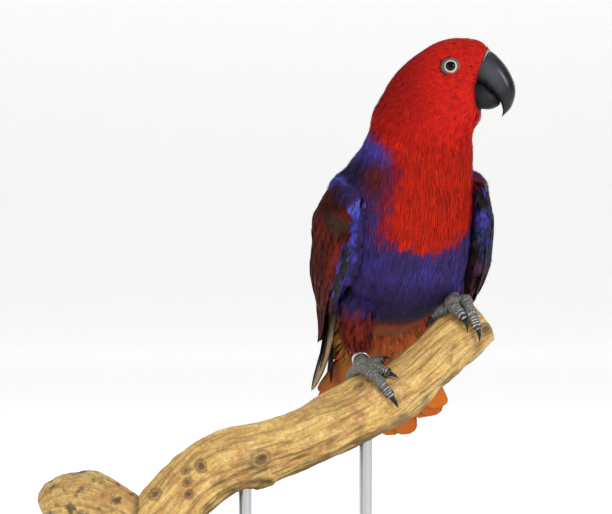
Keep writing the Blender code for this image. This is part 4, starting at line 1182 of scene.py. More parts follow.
def make_foot(name, toes, palm_at, thigh, finish):
    """The palm, the toes and the bare shank up to the thigh's feathers."""
    palm = palm_middle(palm_at)
    ankle = np.array(thigh[-1][:3], float)
    above = np.array(thigh[-2][:3], float)
    pieces = [toe_skin(toe, palm) for toe in toes]
    shank = np.array([palm - (ankle - palm) * 0.1, palm, palm + (ankle - palm) * 0.5, ankle,
                      ankle + unit((above - ankle)[None])[0] * 6])
    places = np.linspace(0, 4, SHANK_RINGS)
    fine = curve_at(shank, places)
    rings, _ = tube_rings(fine, np.interp(places, range(5), SHANK_RADII), SHANK_SIDES)
    rings = rings + unit(rings - fine[:, None]) * (rough(rings, 3.0)[..., None] * 0.14)
    points, faces = with_caps(rings, SHANK_RINGS, SHANK_SIDES)
    pieces.append((points, faces, np.tile(FOOT_GREY, (len(points), 1)) * 1.15))
    turns = np.linspace(0.02, math.pi - 0.02, PALM_RINGS)
    ball = turned_rings([(PALM_RADIUS * 1.02 * math.sin(t), PALM_RADIUS * 0.96 * math.cos(t)) for t in turns],
                        PALM_SIDES, palm, UP, np.array((1.0, 0, 0)), np.array((0, 1.0, 0)))
    ball = ball + unit(ball - palm) * (rough(ball, 3.4)[..., None] * 0.25)
    points, faces = with_caps(ball, PALM_RINGS, PALM_SIDES)
    pieces.append((points, faces, np.tile(FOOT_GREY, (len(points), 1))))
    made = mesh_object(name + "_skin", *joined([piece[:2] for piece in pieces]))
    give_tint(made, np.concatenate([piece[2] for piece in pieces]))
    made.data.materials.append(finish)
    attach(made, "root")
    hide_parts(name)


def make_claws(side, toes, finish):
    """Each claw a curved cone from just inside the toe's end."""
    shares = np.linspace(0.93, 2.0, CLAW_RINGS)
    radii = CLAW_RADIUS * 1.06 * (1 - 0.97 * np.clip(shares - 1, 0, 1) ** 1.25)
    for number, toe in enumerate(toes, 1):
        rings, _ = tube_rings(toe_path(toe, shares), radii, CLAW_SIDES)
        made = mesh_object("claw_%s_%d_horn" % (side, number), *with_caps(rings, CLAW_RINGS, CLAW_SIDES))
        made.data.materials.append(finish)
        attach(made, "root")
        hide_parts("claw_%s_%d" % (side, number))


def make_band():
    """The closed ring round the right shank, its edges rounded over."""
    palm = palm_middle(RIGHT_PALM_AT)
    ankle = np.array(THIGHS[0][-1][:3], float)
    run = unit((ankle - palm)[None])[0]
    middle = palm + (ankle - palm) * BAND_PLACE
    level = unit(np.cross(run, UP)[None])[0]
    upright = np.cross(run, level)
    half = (BAND_OUTER - BAND_INNER) / 2
    profile = []
    for turn in np.arange(BAND_ROWS) * 2 * math.pi / BAND_ROWS:
        c = math.copysign(abs(math.cos(turn)) ** 0.45, math.cos(turn))
        s = math.copysign(abs(math.sin(turn)) ** 0.45, math.sin(turn))
        profile.append((BAND_INNER + half + half * c, BAND_HALF * s))
    rings = turned_rings(profile, BAND_SIDES, middle, run, level, upright)
    made = mesh_object("leg_ring", rings, ring_faces(BAND_ROWS, BAND_SIDES))
    metal, tree, shader = new_material("worn ring metal", 0.28, BAND_METAL)
    shader.inputs["Metallic"].default_value = 1.0
    scratches = noise_at(tree, place_of(tree), 700.0)
    tree.links.new(spread(tree, scratches, 0.0, 1.0, 0.18, 0.45), shader.inputs["Roughness"])
    made.data.materials.append(metal)
    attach(made, "root")
    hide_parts("leg_band")


scaled = scale_finish()
make_foot("foot_right", RIGHT_TOES, RIGHT_PALM_AT, THIGHS[0], scaled)
make_foot("foot_left", LEFT_TOES, LEFT_PALM_AT, THIGHS[1], scaled)
make_claws("right", RIGHT_TOES, horn)
make_claws("left", LEFT_TOES, horn)
make_band()


# Contour feathers
# The coat of head, body and thighs: soft feathers with loose barbs, each rooted in the skin and
# lying back over the next. They are smallest on the face, and long and loose on the breast.

# Along a feather: the stations of its line, how its fan opens, and how wide each of its blades is.
STATIONS = (0.0, 0.3, 0.58, 0.82, 1.0)
FAN = (0.22, 0.55, 0.85, 1.0, 1.04)
BLADE_WIDE = (0.9, 1.0, 0.74, 0.40)
LENGTH_PLACES = (0, 2, 4, 6, 7.5, 9, 10.5, 12, 13.5, 15)
FEATHER_LENGTHS = (3.6, 4.4, 5.2, 7.5, 10.5, 14.0, 16.5, 16.0, 16.0, 15.0)
FEATHER_SPACES = (1.05, 1.05, 1.1, 1.3, 1.6, 1.85, 2.0, 2.2, 2.4, 2.4)
# The painted shade from root to tip, dark at the root where the feathers overlie each other and a
# little light at the tip, the uneven tone and the uneven lift of the loosest feathers.
BLADE_PAINTED_SHADE = (0.36, 0.54, 0.80, 1.0, 1.10)
UNEVEN_TONE = 0.16
UNEVEN_LIFT = 0.14
UNDER_WING_GAP = 6.5
EYE_BARE = 5.6
BILL_BASE = head_point(26.0, 330.0)


class Ground:
    """A surface that feathers lie on: its nearest points and the way out of it there."""

    def __init__(self, points, faces, ways):
        self.tree = BVHTree.FromPolygons(points.tolist(), faces.tolist())
        self.ways = unit(ways[faces].mean(axis=1))

    def nearest(self, points):
        found = [self.tree.find_nearest(point) for point in points.tolist()]
        return np.array([hit[0] for hit in found]), self.ways[[hit[2] for hit in found]]


def face_corners(mesh, corners):
    """The points of each face."""
    faces = np.empty(len(mesh.polygons) * corners, int)
    mesh.polygons.foreach_get("vertices", faces)
    return faces.reshape(-1, corners)


def scatter(points, faces, spaces, keep, seed):
    """Spreads roots evenly over faces, no nearer to each other than the space at their place."""
    rng = np.random.default_rng(seed)
    faces = faces[keep[faces].all(axis=1)]
    corners = points[faces]
    first, second, third = (corners[:, i] - corners[:, 0] for i in (1, 2, 3))
    area = np.linalg.norm(np.cross(first, second), axis=1) + np.linalg.norm(np.cross(second, third), axis=1)
    space = spaces[faces].mean(axis=1)
    weight = area / 2 / space ** 2
    count = int(weight.sum() * 3.2)
    chosen = rng.choice(len(faces), count, p=weight / weight.sum())
    u = rng.random((count, 1))
    v = rng.random((count, 1))
    c = corners[chosen]
    places = (c[:, 0] * (1 - u) + c[:, 1] * u) * (1 - v) + (c[:, 3] * (1 - u) + c[:, 2] * u) * v
    space = space[chosen]
    tree = KDTree(count)
    for i, place in enumerate(places.tolist()):
        tree.insert(place, i)
    tree.balance()
    free = np.ones(count, bool)
    roots = []
    for i in range(count):
        if free[i]:
            roots.append(i)
            for _, j, _ in tree.find_range(places[i], space[i]):
                free[j] = False
    return places[roots]


def lay_lines(roots, runs, lengths):
    """The middle line of each feather over the skin, with the ways out and to the side of it."""
    places, outs = ground.nearest(roots)
    lines = []
    ways = []
    sides = []
    for i, share in enumerate(STATIONS):
        if i:
            step = (lengths * (share - STATIONS[i - 1]))[:, None]
            places, outs = ground.nearest(places + runs * step)
        runs = unit(runs - outs * (runs * outs).sum(-1, keepdims=True))
        lines.append(places)
        ways.append(outs)
        sides.append(unit(np.cross(outs, runs)))
    return lines, ways, sides


def give_map(made, places, faces):
    """The map for baking, from a place for each point."""
    layer = made.data.uv_layers.new(name="OFBake")
    layer.data.foreach_set("uv", places[faces.ravel()].astype(np.float32).ravel())


def feather_coat(name, roots, runs, lengths, heights, tints, uvs, loose, blades, slender, seed):
    """One coat piece: a fan of narrow blades for each feather, all in one mesh. Each blade has two
    points at each of the first four stations and one at its tip."""
    rng = np.random.default_rng(seed)
    count = len(roots)
    widths = lengths * slender
    lines, ways, sides = lay_lines(roots, runs, lengths)
    across = np.linspace(-1, 1, blades)
    raised = 0.75 * ramp(-lengths, -9.0, -4.5)
    blade_half = widths / blades * 0.62
    reach = 1 - 0.5 * np.abs(across)[None] ** 1.5 - rng.random((count, blades)) * 0.25
    sway = rng.normal(0, 0.10, (count, blades))
    lift = rng.normal(0, UNEVEN_LIFT, (count, blades)) * loose[:, None]
    verts = np.empty((count, blades, 9, 3))
    shade = np.empty((count, blades, 9))
    barbs = np.zeros((count, blades, 9, 3))
    for i, station in enumerate(STATIONS):
        place = lines[i][:, None]
        if i == 4:
            place = lines[3][:, None] + (lines[4] - lines[3])[:, None] * reach[..., None]
        shift = (across[None] * FAN[i] + sway * station) * widths[:, None] / 2
        steep = raised + (1 - raised) * min(1.0, station * 1.7)
        rise = heights[:, None] * (steep[:, None] + lift * station)
        rise = rise - 0.10 * widths[:, None] * (across[None] * FAN[i]) ** 2
        middle = place + sides[i][:, None] * shift[..., None] + ways[i][:, None] * rise[..., None]
        # Painted shade: dark at the root and light at the tip, the more so the looser the feather.
        tone = 1 + (BLADE_PAINTED_SHADE[i] - 1) * loose[:, None]
        if i == 4:
            verts[:, :, 8] = middle
            shade[:, :, 8] = tone
            barbs[:, :, 8] = barbs[:, :, 7]
            barbs[:, :, 8, 0] = lengths[:, None]
            continue
        half = (blade_half * BLADE_WIDE[i])[:, None, None] * sides[i][:, None]
        for k, edge in ((2 * i, -1), (2 * i + 1, 1)):
            verts[:, :, k] = middle + edge * half
            shade[:, :, k] = tone
            barbs[:, :, k, 0] = (lengths * station)[:, None]
            barbs[:, :, k, 1] = np.arange(blades)[None] * 3.0 + edge / 2 + rng.random((count, 1)) * 60
    uneven = rng.normal(0, 1, (count, blades, 1)) + rng.normal(0, 0.5, (count, 1, 1))
    shade *= 1 + UNEVEN_TONE * uneven * loose[:, None, None]
    template = np.array([(0, 1, 3), (0, 3, 2), (2, 3, 5), (2, 5, 4), (4, 5, 7), (4, 7, 6), (6, 7, 8)])
    faces = (np.arange(count * blades)[:, None, None] * 9 + template[None]).reshape(-1, 3)
    made = mesh_object(name, verts, faces)
    picked = tints[rng.integers(len(tints), size=(count, blades)), np.arange(count)[:, None]]
    give_tint(made, np.clip(picked[:, :, None] * shade[..., None], 0, 1).reshape(-1, 3))
    give_places(made, "barbs", barbs)
    patch = np.empty((count, blades, 9, 2))
    patch[..., 0] = uvs[:, None, None, 0] + 0.003 * (across[None, :, None] * 0.5)
    patch[..., 1] = uvs[:, None, None, 1] + 0.003 * (np.repeat(STATIONS, 2)[:9] - 0.5)
    give_map(made, patch.reshape(-1, 2), faces)
    made.data.materials.append(soft_feather)
    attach(made, "root")


def coat_runs(points, down):
    """The way the coat lies: back from the bill over the head, then down the body."""
    away = points - BILL_BASE
    far = np.linalg.norm(away, axis=1)
    over = ramp(far, 20, 62)[:, None]
    on_head = ramp(points[:, 2], 286, 306)[:, None]
    radial = unit(away) - FORWARD * 0.35
    share = over * on_head + (1 - on_head)
    return unit(radial * (1 - share) + down * share)


def near_bill(points, least, rest):
    """The share of their full size that feathers have, growing from the least at the bill's base."""
    share = ramp(np.linalg.norm(points - BILL_BASE, axis=1), 10, 34) * rest + least
    return np.where(points[:, 2] > 300, share, 1.0)


skin_faces = face_corners(skin.data, 4)
ground = Ground(skin_points, skin_faces, skin_ways)
eye_middles = np.array([eye_place(1)[0], eye_place(-1)[0]])
near_eye = np.linalg.norm(skin_points[:, None] - eye_middles[None], axis=-1).min(axis=1)
on_body = skin_far < 1.03
thigh_near, _ = thigh_share(skin_points)
on_thigh = (skin_far >= 1.0) & (thigh_near < 1.05)
bare_skin = (near_eye < EYE_BARE) | ((past_bed(skin_points) > -0.3) & (skin_points[:, 2] < 345.6))
skin_spaces = np.interp(skin_places, LENGTH_PLACES, FEATHER_SPACES)
skin_spaces = skin_spaces * (0.4 + 0.6 * near_bill(skin_points, 0.55, 0.45))
roots = scatter(skin_points, skin_faces, skin_spaces, (on_body | on_thigh) & ~bare_skin, 11)
root_places, root_turns, root_far, root_down = spine_places(roots)
root_near, thigh_run = thigh_share(roots)
root_thigh = (root_far >= 1.0) & (root_near < 1.15)
root_runs = np.where(root_thigh[:, None], thigh_run, coat_runs(roots, root_down))
root_rng = np.random.default_rng(21)
root_runs = unit(root_runs + root_rng.normal(0, 0.09, root_runs.shape))
root_lengths = np.interp(root_places, LENGTH_PLACES, FEATHER_LENGTHS) * near_bill(roots, 0.5, 0.5)
root_lengths = np.where(root_thigh, np.interp(roots[:, 2], (158, 170, 200), (4.5, 8.0, 12.0)), root_lengths)
root_lengths *= root_rng.uniform(0.85, 1.15, len(roots))
root_heights = np.interp(root_places, COAT_DEPTH_PLACES, COAT_DEPTHS) * root_rng.uniform(0.8, 1.12, len(roots))
seen_at = roots + root_runs * (root_lengths * 0.62)[:, None]
seen_places, seen_turns, _, _ = spine_places(seen_at)
root_tints = np.array([coat_colours(seen_at, seen_places, seen_turns, np.where(root_thigh, 1.1, 1.0), seed)
                       for seed in (31, 32, 33, 34)])
root_uvs = np.stack([(root_turns / (2 * math.pi) % 1.0) * 0.6 + 0.02, root_places / 15 * 0.94 + 0.03], axis=-1)
thigh_uvs = np.stack([0.66 + (roots[:, 0] - 4) / 90 * 0.3, 0.05 + (roots[:, 2] - 155) / 70 * 0.4], axis=-1)
root_uvs = np.where(root_thigh[:, None], thigh_uvs, root_uvs)
# Feathers that would come out under the front edge of a wing are left out.
under_wing = np.zeros(len(roots), bool)
edge_along, edge_across = np.meshgrid(np.linspace(0, 0.4, 60), np.linspace(0, 0.3, 14), indexing="ij")
for wing in (right_wing, left_wing):
    near_edge = wing.point(edge_along, edge_across).reshape(-1, 3)
    for start in range(0, len(roots), BATCH):
        gap = np.linalg.norm(roots[start:start + BATCH, None] - near_edge[None], axis=-1).min(axis=1)
        under_wing[start:start + BATCH] |= gap < UNDER_WING_GAP
under_wing &= ~root_thigh & (roots[:, 2] < 262)
over_bill = (past_bed(roots) > -1.8) & (roots[:, 2] < 330) & (roots[:, 2] > 310.5)
root_heights = np.where(over_bill, root_heights * 0.7, root_heights)
nape_fringe = ramp(root_places, 5.2, 6.2) * ramp(-root_places, -8.4, -7.4) * ramp(-np.sin(root_turns), 0.2, 0.8)
root_loose = np.where(root_thigh, 1.0, 0.25 + 0.75 * ramp(root_places, 6.0, 10.5)) + nape_fringe * 1.2
blurred = root_places + root_rng.uniform(-1.1, 1.1, len(roots))
face_roots = (root_places < 4.2) & ~root_thigh
head_roots = (blurred < 7.6) & ~root_thigh & ~face_roots
body_roots = ~(face_roots | head_roots | root_thigh)
red_roots = body_roots & (root_tints[0][:, 0] > 0.25) & (root_places < 12.6)
back_roots = body_roots & ~red_roots & (np.sin(root_turns) < 0.0)
violet_roots = body_roots & ~red_roots & ~back_roots
for name, chosen, blades, slender, slot in (
        ("coat_face", face_roots, 5, 0.52, "red_plumage"),
        ("coat_head", head_roots, 6, 0.44, "red_plumage"),
        ("coat_breast", red_roots, 12, 0.30, "red_plumage"),
        ("coat_belly", violet_roots, 11, 0.34, "violet_plumage"),
        ("coat_back", back_roots, 9, 0.38, "wing_plumage"),
        ("coat_thighs", root_thigh, 9, 0.32, "violet_plumage")):
    chosen = chosen & ~under_wing
    feather_coat(name, roots[chosen], root_runs[chosen], root_lengths[chosen], root_heights[chosen],
                 root_tints[:, chosen], root_uvs[chosen], root_loose[chosen], blades, slender, 41)


# Wings
# Folded wings: small coverts over the shoulder, longer rows below them, then the secondaries and
# the stiff primaries, each a shaft with its vane. Dark maroon, with blue along the lower edge.

VANE_STATIONS = np.array((0.0, 0.07, 0.18, 0.33, 0.48, 0.63, 0.77, 0.88, 0.94, 0.975, 1.0))
VANE_EDGES = np.array((-1.0, -0.6, 0.0, 0.6, 1.0, 0.6, 0.0, -0.6))
VANE_TOPS = np.array((0.0, 0.5, 1.0, 0.5, 0.0, -0.5, -0.8, -0.5))
VANE_THICK = 0.14
SHORT_OUTLINE = ((0.0, 0.30), (0.12, 0.75), (0.4, 1.0), (0.7, 0.98), (0.88, 0.78), (0.96, 0.5), (1.0, 0.12))
POINTED_OUTLINE = ((0.0, 0.3), (0.1, 0.7), (0.35, 1.0), (0.6, 0.86), (0.8, 0.62), (0.92, 0.36), (1.0, 0.05))
LONG_OUTLINE = ((0.0, 0.3), (0.1, 0.7), (0.35, 1.0), (0.75, 0.95), (0.9, 0.72), (0.97, 0.42), (1.0, 0.08))
WING_BLUE = np.array((0.085, 0.078, 0.560))
WING_BLUE_DARK = np.array((0.028, 0.028, 0.110))
WING_BLACK = np.array((0.016, 0.014, 0.014))
WING_OLIVE = np.array((0.042, 0.040, 0.028))
WING_RED = np.array((0.125, 0.011, 0.006))
WING_BLUE_BRIGHT = np.array((0.200, 0.200, 0.900))
WING_GREY = np.array((0.090, 0.095, 0.085))
STREAK_STRETCH = np.array((1.0, 0.6, 0.2))
ARM_COAT_END = 0.34
CREAM = np.array((0.42, 0.30, 0.17))
# Each row of feathers: start, end, first, last, how many, width, height over the wing, outline.
WING_ROWS = (
    (0.44, 0.74, 0.14, 0.97, 12, 12.0, 0.9, LONG_OUTLINE),
    (0.33, 0.58, 0.03, 0.97, 14, 11.5, 1.1, LONG_OUTLINE),
    (0.26, 0.47, 0.01, 0.96, 15, 11.5, 1.3, LONG_OUTLINE),
    (0.19, 0.37, 0.01, 0.95, 15, 11.5, 1.4, LONG_OUTLINE),
    (0.14, 0.27, 0.09, 0.95, 15, 11.0, 1.5, SHORT_OUTLINE),
    (0.10, 0.21, 0.12, 0.95, 14, 10.0, 1.5, SHORT_OUTLINE),
)
# Each primary: the place of its tip, how far the tip leans to the body, its width.
PRIMARIES = ((0.992, 0.0, 15.0), (0.985, 12.0, 8.5), (0.90, 2.0, 12.5), (0.875, 1.0, 12.5), (0.85, 0.0, 12.5),
             (0.82, 0.0, 12.5), (0.79, 0.0, 12.5), (0.76, 0.0, 12.5))


def vane_points(places, normals, width, outline, roll, droop, rng):
    """The closed, thin shape of one stiff feather along its middle line, and where its points lie on it."""
    half = np.interp(VANE_STATIONS, *np.transpose(outline)) * width / 2
    run = unit(np.gradient(places, axis=0))
    normals = unit(normals - run * (normals * run).sum(-1, keepdims=True))
    side = np.cross(normals, run)
    edge = VANE_EDGES[None] * half[:, None] * (1 + rng.normal(0, 0.015, (len(half), 8)))
    height = VANE_TOPS[None] * VANE_THICK * (1 - 0.6 * VANE_STATIONS[:, None])
    height = height + edge * math.tan(roll) - droop * (VANE_EDGES[None] ** 2) * half[:, None]
    points = places[:, None] + side[:, None] * edge[..., None] + normals[:, None] * height[..., None]
    lie = np.broadcast_arrays(VANE_STATIONS[:, None], VANE_EDGES[None], np.sign(VANE_TOPS)[None])
    return points, np.stack(lie, axis=-1)


def with_ends(values):
    """Values of a tube's points, with the first and the last again for its two caps."""
    values = values.reshape(-1, values.shape[-1])
    return np.concatenate([values, values[:1], values[-1:]])


class Vanes:
    """Gathers stiff feathers into one mesh."""

    def __init__(self):
        self.shapes = []
        self.tints = []
        self.barbs = []
        self.places = []

    def add(self, points, lie, tints, uv, length, width, seed):
        self.shapes.append(with_caps(points, *points.shape[:2]))
        self.tints.append(with_ends(tints))
        out = np.abs(lie[..., 1]) * width
        slant = lie[..., 0] * length - out * 0.35
        self.barbs.append(with_ends(np.stack([out + seed * 7.3, slant, 0 * slant + seed], axis=-1)))
        patch = np.stack([uv[0] + 0.0015 * lie[..., 1], uv[1] + 0.003 * (lie[..., 0] - 0.5)], axis=-1)
        self.places.append(with_ends(patch))

    def finish(self, name, finish, slot, node):
        points, faces = joined(self.shapes)
        made = mesh_object(name, points, faces)
        give_tint(made, np.clip(np.concatenate(self.tints), 0, 1))
        give_places(made, "barbs", np.concatenate(self.barbs))
        give_map(made, np.concatenate(self.places), faces)
        made.data.materials.append(finish)
        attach(made, "root")
        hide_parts(node)


def right_wing_tint(points, across):
    """Streaked maroon and dark red; olive at the shoulder; a strip of blue down the front edge, which
    is black and olive with a blue border lower down."""
    streaks = rough(points * STREAK_STRETCH, 2.2)[:, None]
    blotches = rough(points, 9.0)[:, None]
    specks = rough(points + 40, 2.6)[:, None]
    height = points[:, 2:3]
    edge = np.array(RIGHT_WING["lower"])[::-1]
    behind = np.interp(height, edge[:, 2], edge[:, 0]) - points[:, 0:1]
    front = ramp(-across[:, None], -0.42, -0.30)
    tint = toward(MAROON * 0.8, WING_RED * 1.15, 0.4 + 1.1 * streaks + 0.35 * blotches)
    shoulder = ramp(height, 224, 240) * ramp(-behind, -24, -12)
    tint = toward(tint, WING_OLIVE, 0.8 * shoulder * ramp(blotches + 0.6 * specks, 0.0, 0.35))
    tint = toward(tint, WING_OLIVE * 1.4, 0.8 * spot(points, 4.5, 240.7, 6.0, 5.0))
    tint = toward(tint, WING_RED * 1.7, spot(points, 9.3, 243.7, 4.0, 3.5))
    red_line = ramp(behind, 7.5, 9.5) * ramp(-behind, -13.5, -11.5)
    red_line = red_line * ramp(height, 200, 206) * ramp(-height, -231, -225)
    tint = toward(tint, WING_RED * 1.8, red_line * front)
    # Beyond the front edge, the body's violet, darkened as painted shade where the wing meets the belly.
    lumps = 0.35 + 0.8 * rough(points, 8.0)[:, None]
    tint = toward(tint, toward(VIOLET * 0.9, VIOLET_DARK, lumps), ramp(-behind, 0.2, 1.2) * front)
    wide = np.interp(height, (188, 200, 224, 228, 244, 247, 255), (2.0, 6.0, 8.0, 3.4, 3.8, 7.0, 6.5))
    strip = front * ramp(behind, -1.2, -0.2) * ramp(wide - behind, -0.6, 0.6)
    strip = strip * ramp(height, 188, 192) * ramp(-height, -256, -253)
    border = ramp(np.abs(behind / wide - 0.5), 0.32, 0.44)
    blue = toward(WING_BLUE_DARK, WING_BLUE, 0.7 + 1.1 * specks)
    blue = toward(blue, WING_BLUE_BRIGHT, ramp(height, 243, 247) * (0.9 + 0.7 * specks))
    black = toward(WING_BLACK, WING_OLIVE, 0.5 + 0.9 * specks)
    blue = toward(blue, black, ramp(-height, -230, -225) * (1 - border))
    tint = toward(tint, blue, strip)
    tint = toward(tint, WING_GREY, spot(points, 12.9, 256.2, 4.0, 2.6))
    return toward(tint, WING_BLUE_BRIGHT, 1.4 * spot(points, 10.8, 261.0, 4.4, 3.6))


def left_wing_tint(points, across):
    """Streaked maroon on the outside; mottled blue, olive and black in front, black low down."""
    streaks = rough(points * STREAK_STRETCH, 2.2)[:, None]
    blotches = rough(points, 7.0)[:, None]
    specks = rough(points + 40, 2.6)[:, None]
    height = points[:, 2:3]
    outer = toward(MAROON * 0.8, WING_RED * 0.7, 0.3 + 0.8 * streaks)
    front = toward(WING_BLACK, WING_BLUE_DARK, 0.5 + 1.3 * blotches)
    front = toward(front, WING_BLUE * 0.7, ramp(specks + 0.5 * blotches, 0.0, 0.4) * ramp(height, 215, 240))
    front = toward(front, WING_OLIVE, 0.9 * ramp(rough(points + 80, 3.4)[:, None], 0.0, 0.3))
    front = toward(front, WING_BLACK, 0.85 * ramp(-height, -216, -198))
    front = toward(front, WING_BLUE, spot(points, 93.0, 243.0, 3.0, 3.5))
    front = toward(front, WING_RED * 1.4, 0.9 * spot(points, 89.0, 209.0, 5.0, 7.0))
    shoulder = ramp(points[:, 0:1], 94.0, 96.0) * ramp(height, 248, 254)
    return toward(front, outer, np.maximum(ramp(across[:, None], 0.36, 0.5), shoulder))


def primary_tint(number, lie, side):
    """Dark outer web; a pale inner web on the longest one."""
    tints = toward(WING_BLACK, MAROON, 0.35) + np.zeros(lie.shape)
    if number:
        return tints
    inner = ramp(lie[..., 1] * side, -0.25, 0.1) * ramp(lie[..., 0], 0.25, 0.5)
    inner = inner * ramp(-lie[..., 1] * side, -1.02, -0.7)
    return toward(tints, CREAM, inner[..., None])


def make_wing(name, wing, tint_of, uv_start, seed, finish):
    """All the feathers of one wing, from the primaries up to the coverts that overlie them."""
    rng = np.random.default_rng(seed)
    vanes = Vanes()
    for i, (tip, lean, width) in enumerate(PRIMARIES):
        share = i / (len(PRIMARIES) - 1)
        under = -0.9 * (len(PRIMARIES) - 1 - i)
        along = 0.44 + (tip - 0.44) * VANE_STATIONS
        across = 0.10 + 0.6 * share + 0.1 * VANE_STATIONS
        normals = wing.normal(np.minimum(along, 0.78), across)
        places = wing.point(along, across) + normals * (under * (1 - 0.2 * VANE_STATIONS))[:, None]
        places[:, 0] += wing.side * lean * VANE_STATIONS ** 2
        if i < 2:
            normals = unit(normals + np.array((0.0, -1.4, 0.0)) * ramp(VANE_STATIONS, 0.3, 0.9)[:, None])
        outline = LONG_OUTLINE if i else POINTED_OUTLINE
        points, lie = vane_points(places, normals, width, outline, 0.0, 0.04, rng)
        length = np.linalg.norm(places[-1] - places[0])
        tints = primary_tint(i, lie, wing.side)
        vanes.add(points, lie, tints, (uv_start + 0.14 * share, 0.5), length, width, i)
    number = len(PRIMARIES)
    for start, end, first, last, count, width, height, outline in WING_ROWS:
        for i in range(count):
            middle = first + (last - first) * (i + rng.uniform(-0.2, 0.2)) / (count - 1)
            reach = (end - start) * rng.uniform(0.93, 1.1)
            lean = rng.uniform(-0.012, 0.012)
            along = start + rng.uniform(-0.006, 0.006) + reach * VANE_STATIONS
            across = np.clip(middle + lean * VANE_STATIONS, 0.02, 0.98)
            normals = wing.normal(along, across)
            lift = -1.6 + (height + 1.4) * np.minimum(VANE_STATIONS * 2.2, 1.0) + 0.2 * VANE_STATIONS
            places = wing.point(along, across) + normals * lift[:, None]
            narrow = 0.55 + 0.45 * float(ramp(middle, 0.0, 0.22))
            points, lie = vane_points(places, normals, width * narrow * rng.uniform(0.92, 1.08), outline,
                                      math.radians(3) * wing.side, 0.06, rng)
            length = np.linalg.norm(places[-1] - places[0])
            uv = (uv_start + 0.15 * middle, 0.52 + 0.45 * start)
            flat = points.reshape(-1, 3)
            tints = tint_of(flat, np.full(len(flat), middle)).reshape(points.shape)
            # Lighter margins are the feathers' own colour; darker towards the root is painted shade.
            tints = tints * (0.80 + 0.22 * ramp(np.abs(lie[..., 1:2]), 0.1, 0.8)) * (0.80 + 0.26 * lie[..., :1])
            vanes.add(points, lie, tints * rng.uniform(0.88, 1.1), uv, length, width, number)
            number += 1
    vanes.finish(name + "_vanes", finish, "wing_plumage", name)


def wing_coat(name, wing, tint_of, seed):
    """The small soft coverts over the arm of a wing, rooted in the skin."""
    rng = np.random.default_rng(seed)
    arm = ~on_body & ~on_thigh & ((skin_points[:, 0] < 45) == (wing.side > 0))
    places = np.flatnonzero(arm)
    along, _, _ = wing.lies(skin_points[places])
    arm[places] = along < ARM_COAT_END
    roots = scatter(skin_points, skin_faces, np.full(len(skin_points), 1.6), arm, seed)
    along, across, runs = wing.lies(roots)
    lengths = np.interp(along, (0.0, 0.1, ARM_COAT_END), (5.5, 8.5, 15.0)) * rng.uniform(0.85, 1.15, len(roots))
    heights = np.interp(along, (0.0, 0.15, ARM_COAT_END), (1.6, 2.2, 3.0)) * rng.uniform(0.9, 1.1, len(roots))
    runs = unit(runs + rng.normal(0, 0.07, runs.shape))
    tints = tint_of(roots + runs * (lengths * 0.6)[:, None], across)[None]
    uvs = np.stack([0.05 + 0.9 * across, 0.05 + 0.9 * along / ARM_COAT_END], axis=-1)
    feather_coat(name, roots, runs, lengths, heights, tints, uvs, np.full(len(roots), 0.7), 9, 0.44,
                 seed)


stiff_feather = plumage_finish("stiff vanes", 0.6, 0.04, 0.46)
make_wing("wing_right", right_wing, right_wing_tint, 0.66, 61, stiff_feather)
make_wing("wing_left", left_wing, left_wing_tint, 0.83, 62, stiff_feather)
wing_coat("coat_wing_right", right_wing, right_wing_tint, 63)
wing_coat("coat_wing_left", left_wing, left_wing_tint, 64)


# Tail
# Twelve broad feathers in a short fan, with soft coverts over and under their roots. Maroon above,
# rust and orange below, paling to an orange tip.

TAIL_RUN = unit(np.array([(0.015, 0.69, -0.723)]))[0]
TAIL_AT = 14.0
# Each tail feather: its place across the fan and its length.
TAIL_FEATHERS = ((-1.1, 77), (-0.98, 87), (-0.78, 97), (-0.56, 106), (-0.34, 109), (-0.12, 111), (0.09, 113),
                 (0.29, 112), (0.45, 92), (0.60, 96), (0.75, 95), (0.90, 88))
TAIL_SPREAD = math.radians(24)
COVERT_SPREAD = math.radians(15)
UNDER_SPREAD = math.radians(13)
TAIL_WIDE = 18.0
COVERT_WIDE = 12.0
TAIL_COVERTS = 9
UNDER_COVERTS = 720
TAIL_STRETCH = np.array((1.0, 0.2, 0.2))
TAIL_RED = np.array((0.24, 0.030, 0.014))
TAIL_YELLOW = np.array((0.46, 0.25, 0.05))
TAIL_OUTLINE = ((0.0, 0.3), (0.1, 0.7), (0.35, 1.0), (0.88, 1.0), (0.94, 0.95), (0.975, 0.76), (1.0, 0.30))


def tail_frame():
    """The tail's root, the way across it and the way out of its upper side."""
    row = curve_at(BODY, TAIL_AT)
    turn = math.radians(row[4])
    across = np.array((math.cos(turn), math.sin(turn), 0.0))
    return row[:3], across, unit(np.cross(TAIL_RUN, -across)[None])[0]


def tail_line(place, spread, start, length, height):
    """The middle line of a feather of the fan, and the way up from it."""
    root, across, top = tail_frame()
    turn = spread * place
    run = TAIL_RUN * math.cos(turn) + across * math.sin(turn)
    first = root + TAIL_RUN * start + across * 6.0 * place
    sag = -0.00035 * (VANE_STATIONS * length) ** 2
    return (first + run * ((length - start) * VANE_STATIONS)[:, None] + top * (height + sag)[:, None],
            np.repeat(top[None], len(VANE_STATIONS), axis=0))


def tail_tint(place, lie, rng, above):
    """The colours of a tail feather: its upper face, its lower face, its edge and its tip."""
    upper = (lie[..., 2:3] > 0) * 1.0
    rust = RUST * rng.uniform(0.8, 1.25) if not above else TAIL_RED
    under = rust + (TAIL_YELLOW - rust) * (np.abs(place) ** 2 * 0.28)
    base = under + (TAIL_RED - under) * upper * (0.85 if above else 0.6)
    tip = ramp(lie[..., 0], 0.72, 0.92)[..., None]
    return base + (ORANGE * rng.uniform(0.85, 1.1) - base) * tip * (0.45 if place < -0.5 else 1.0)


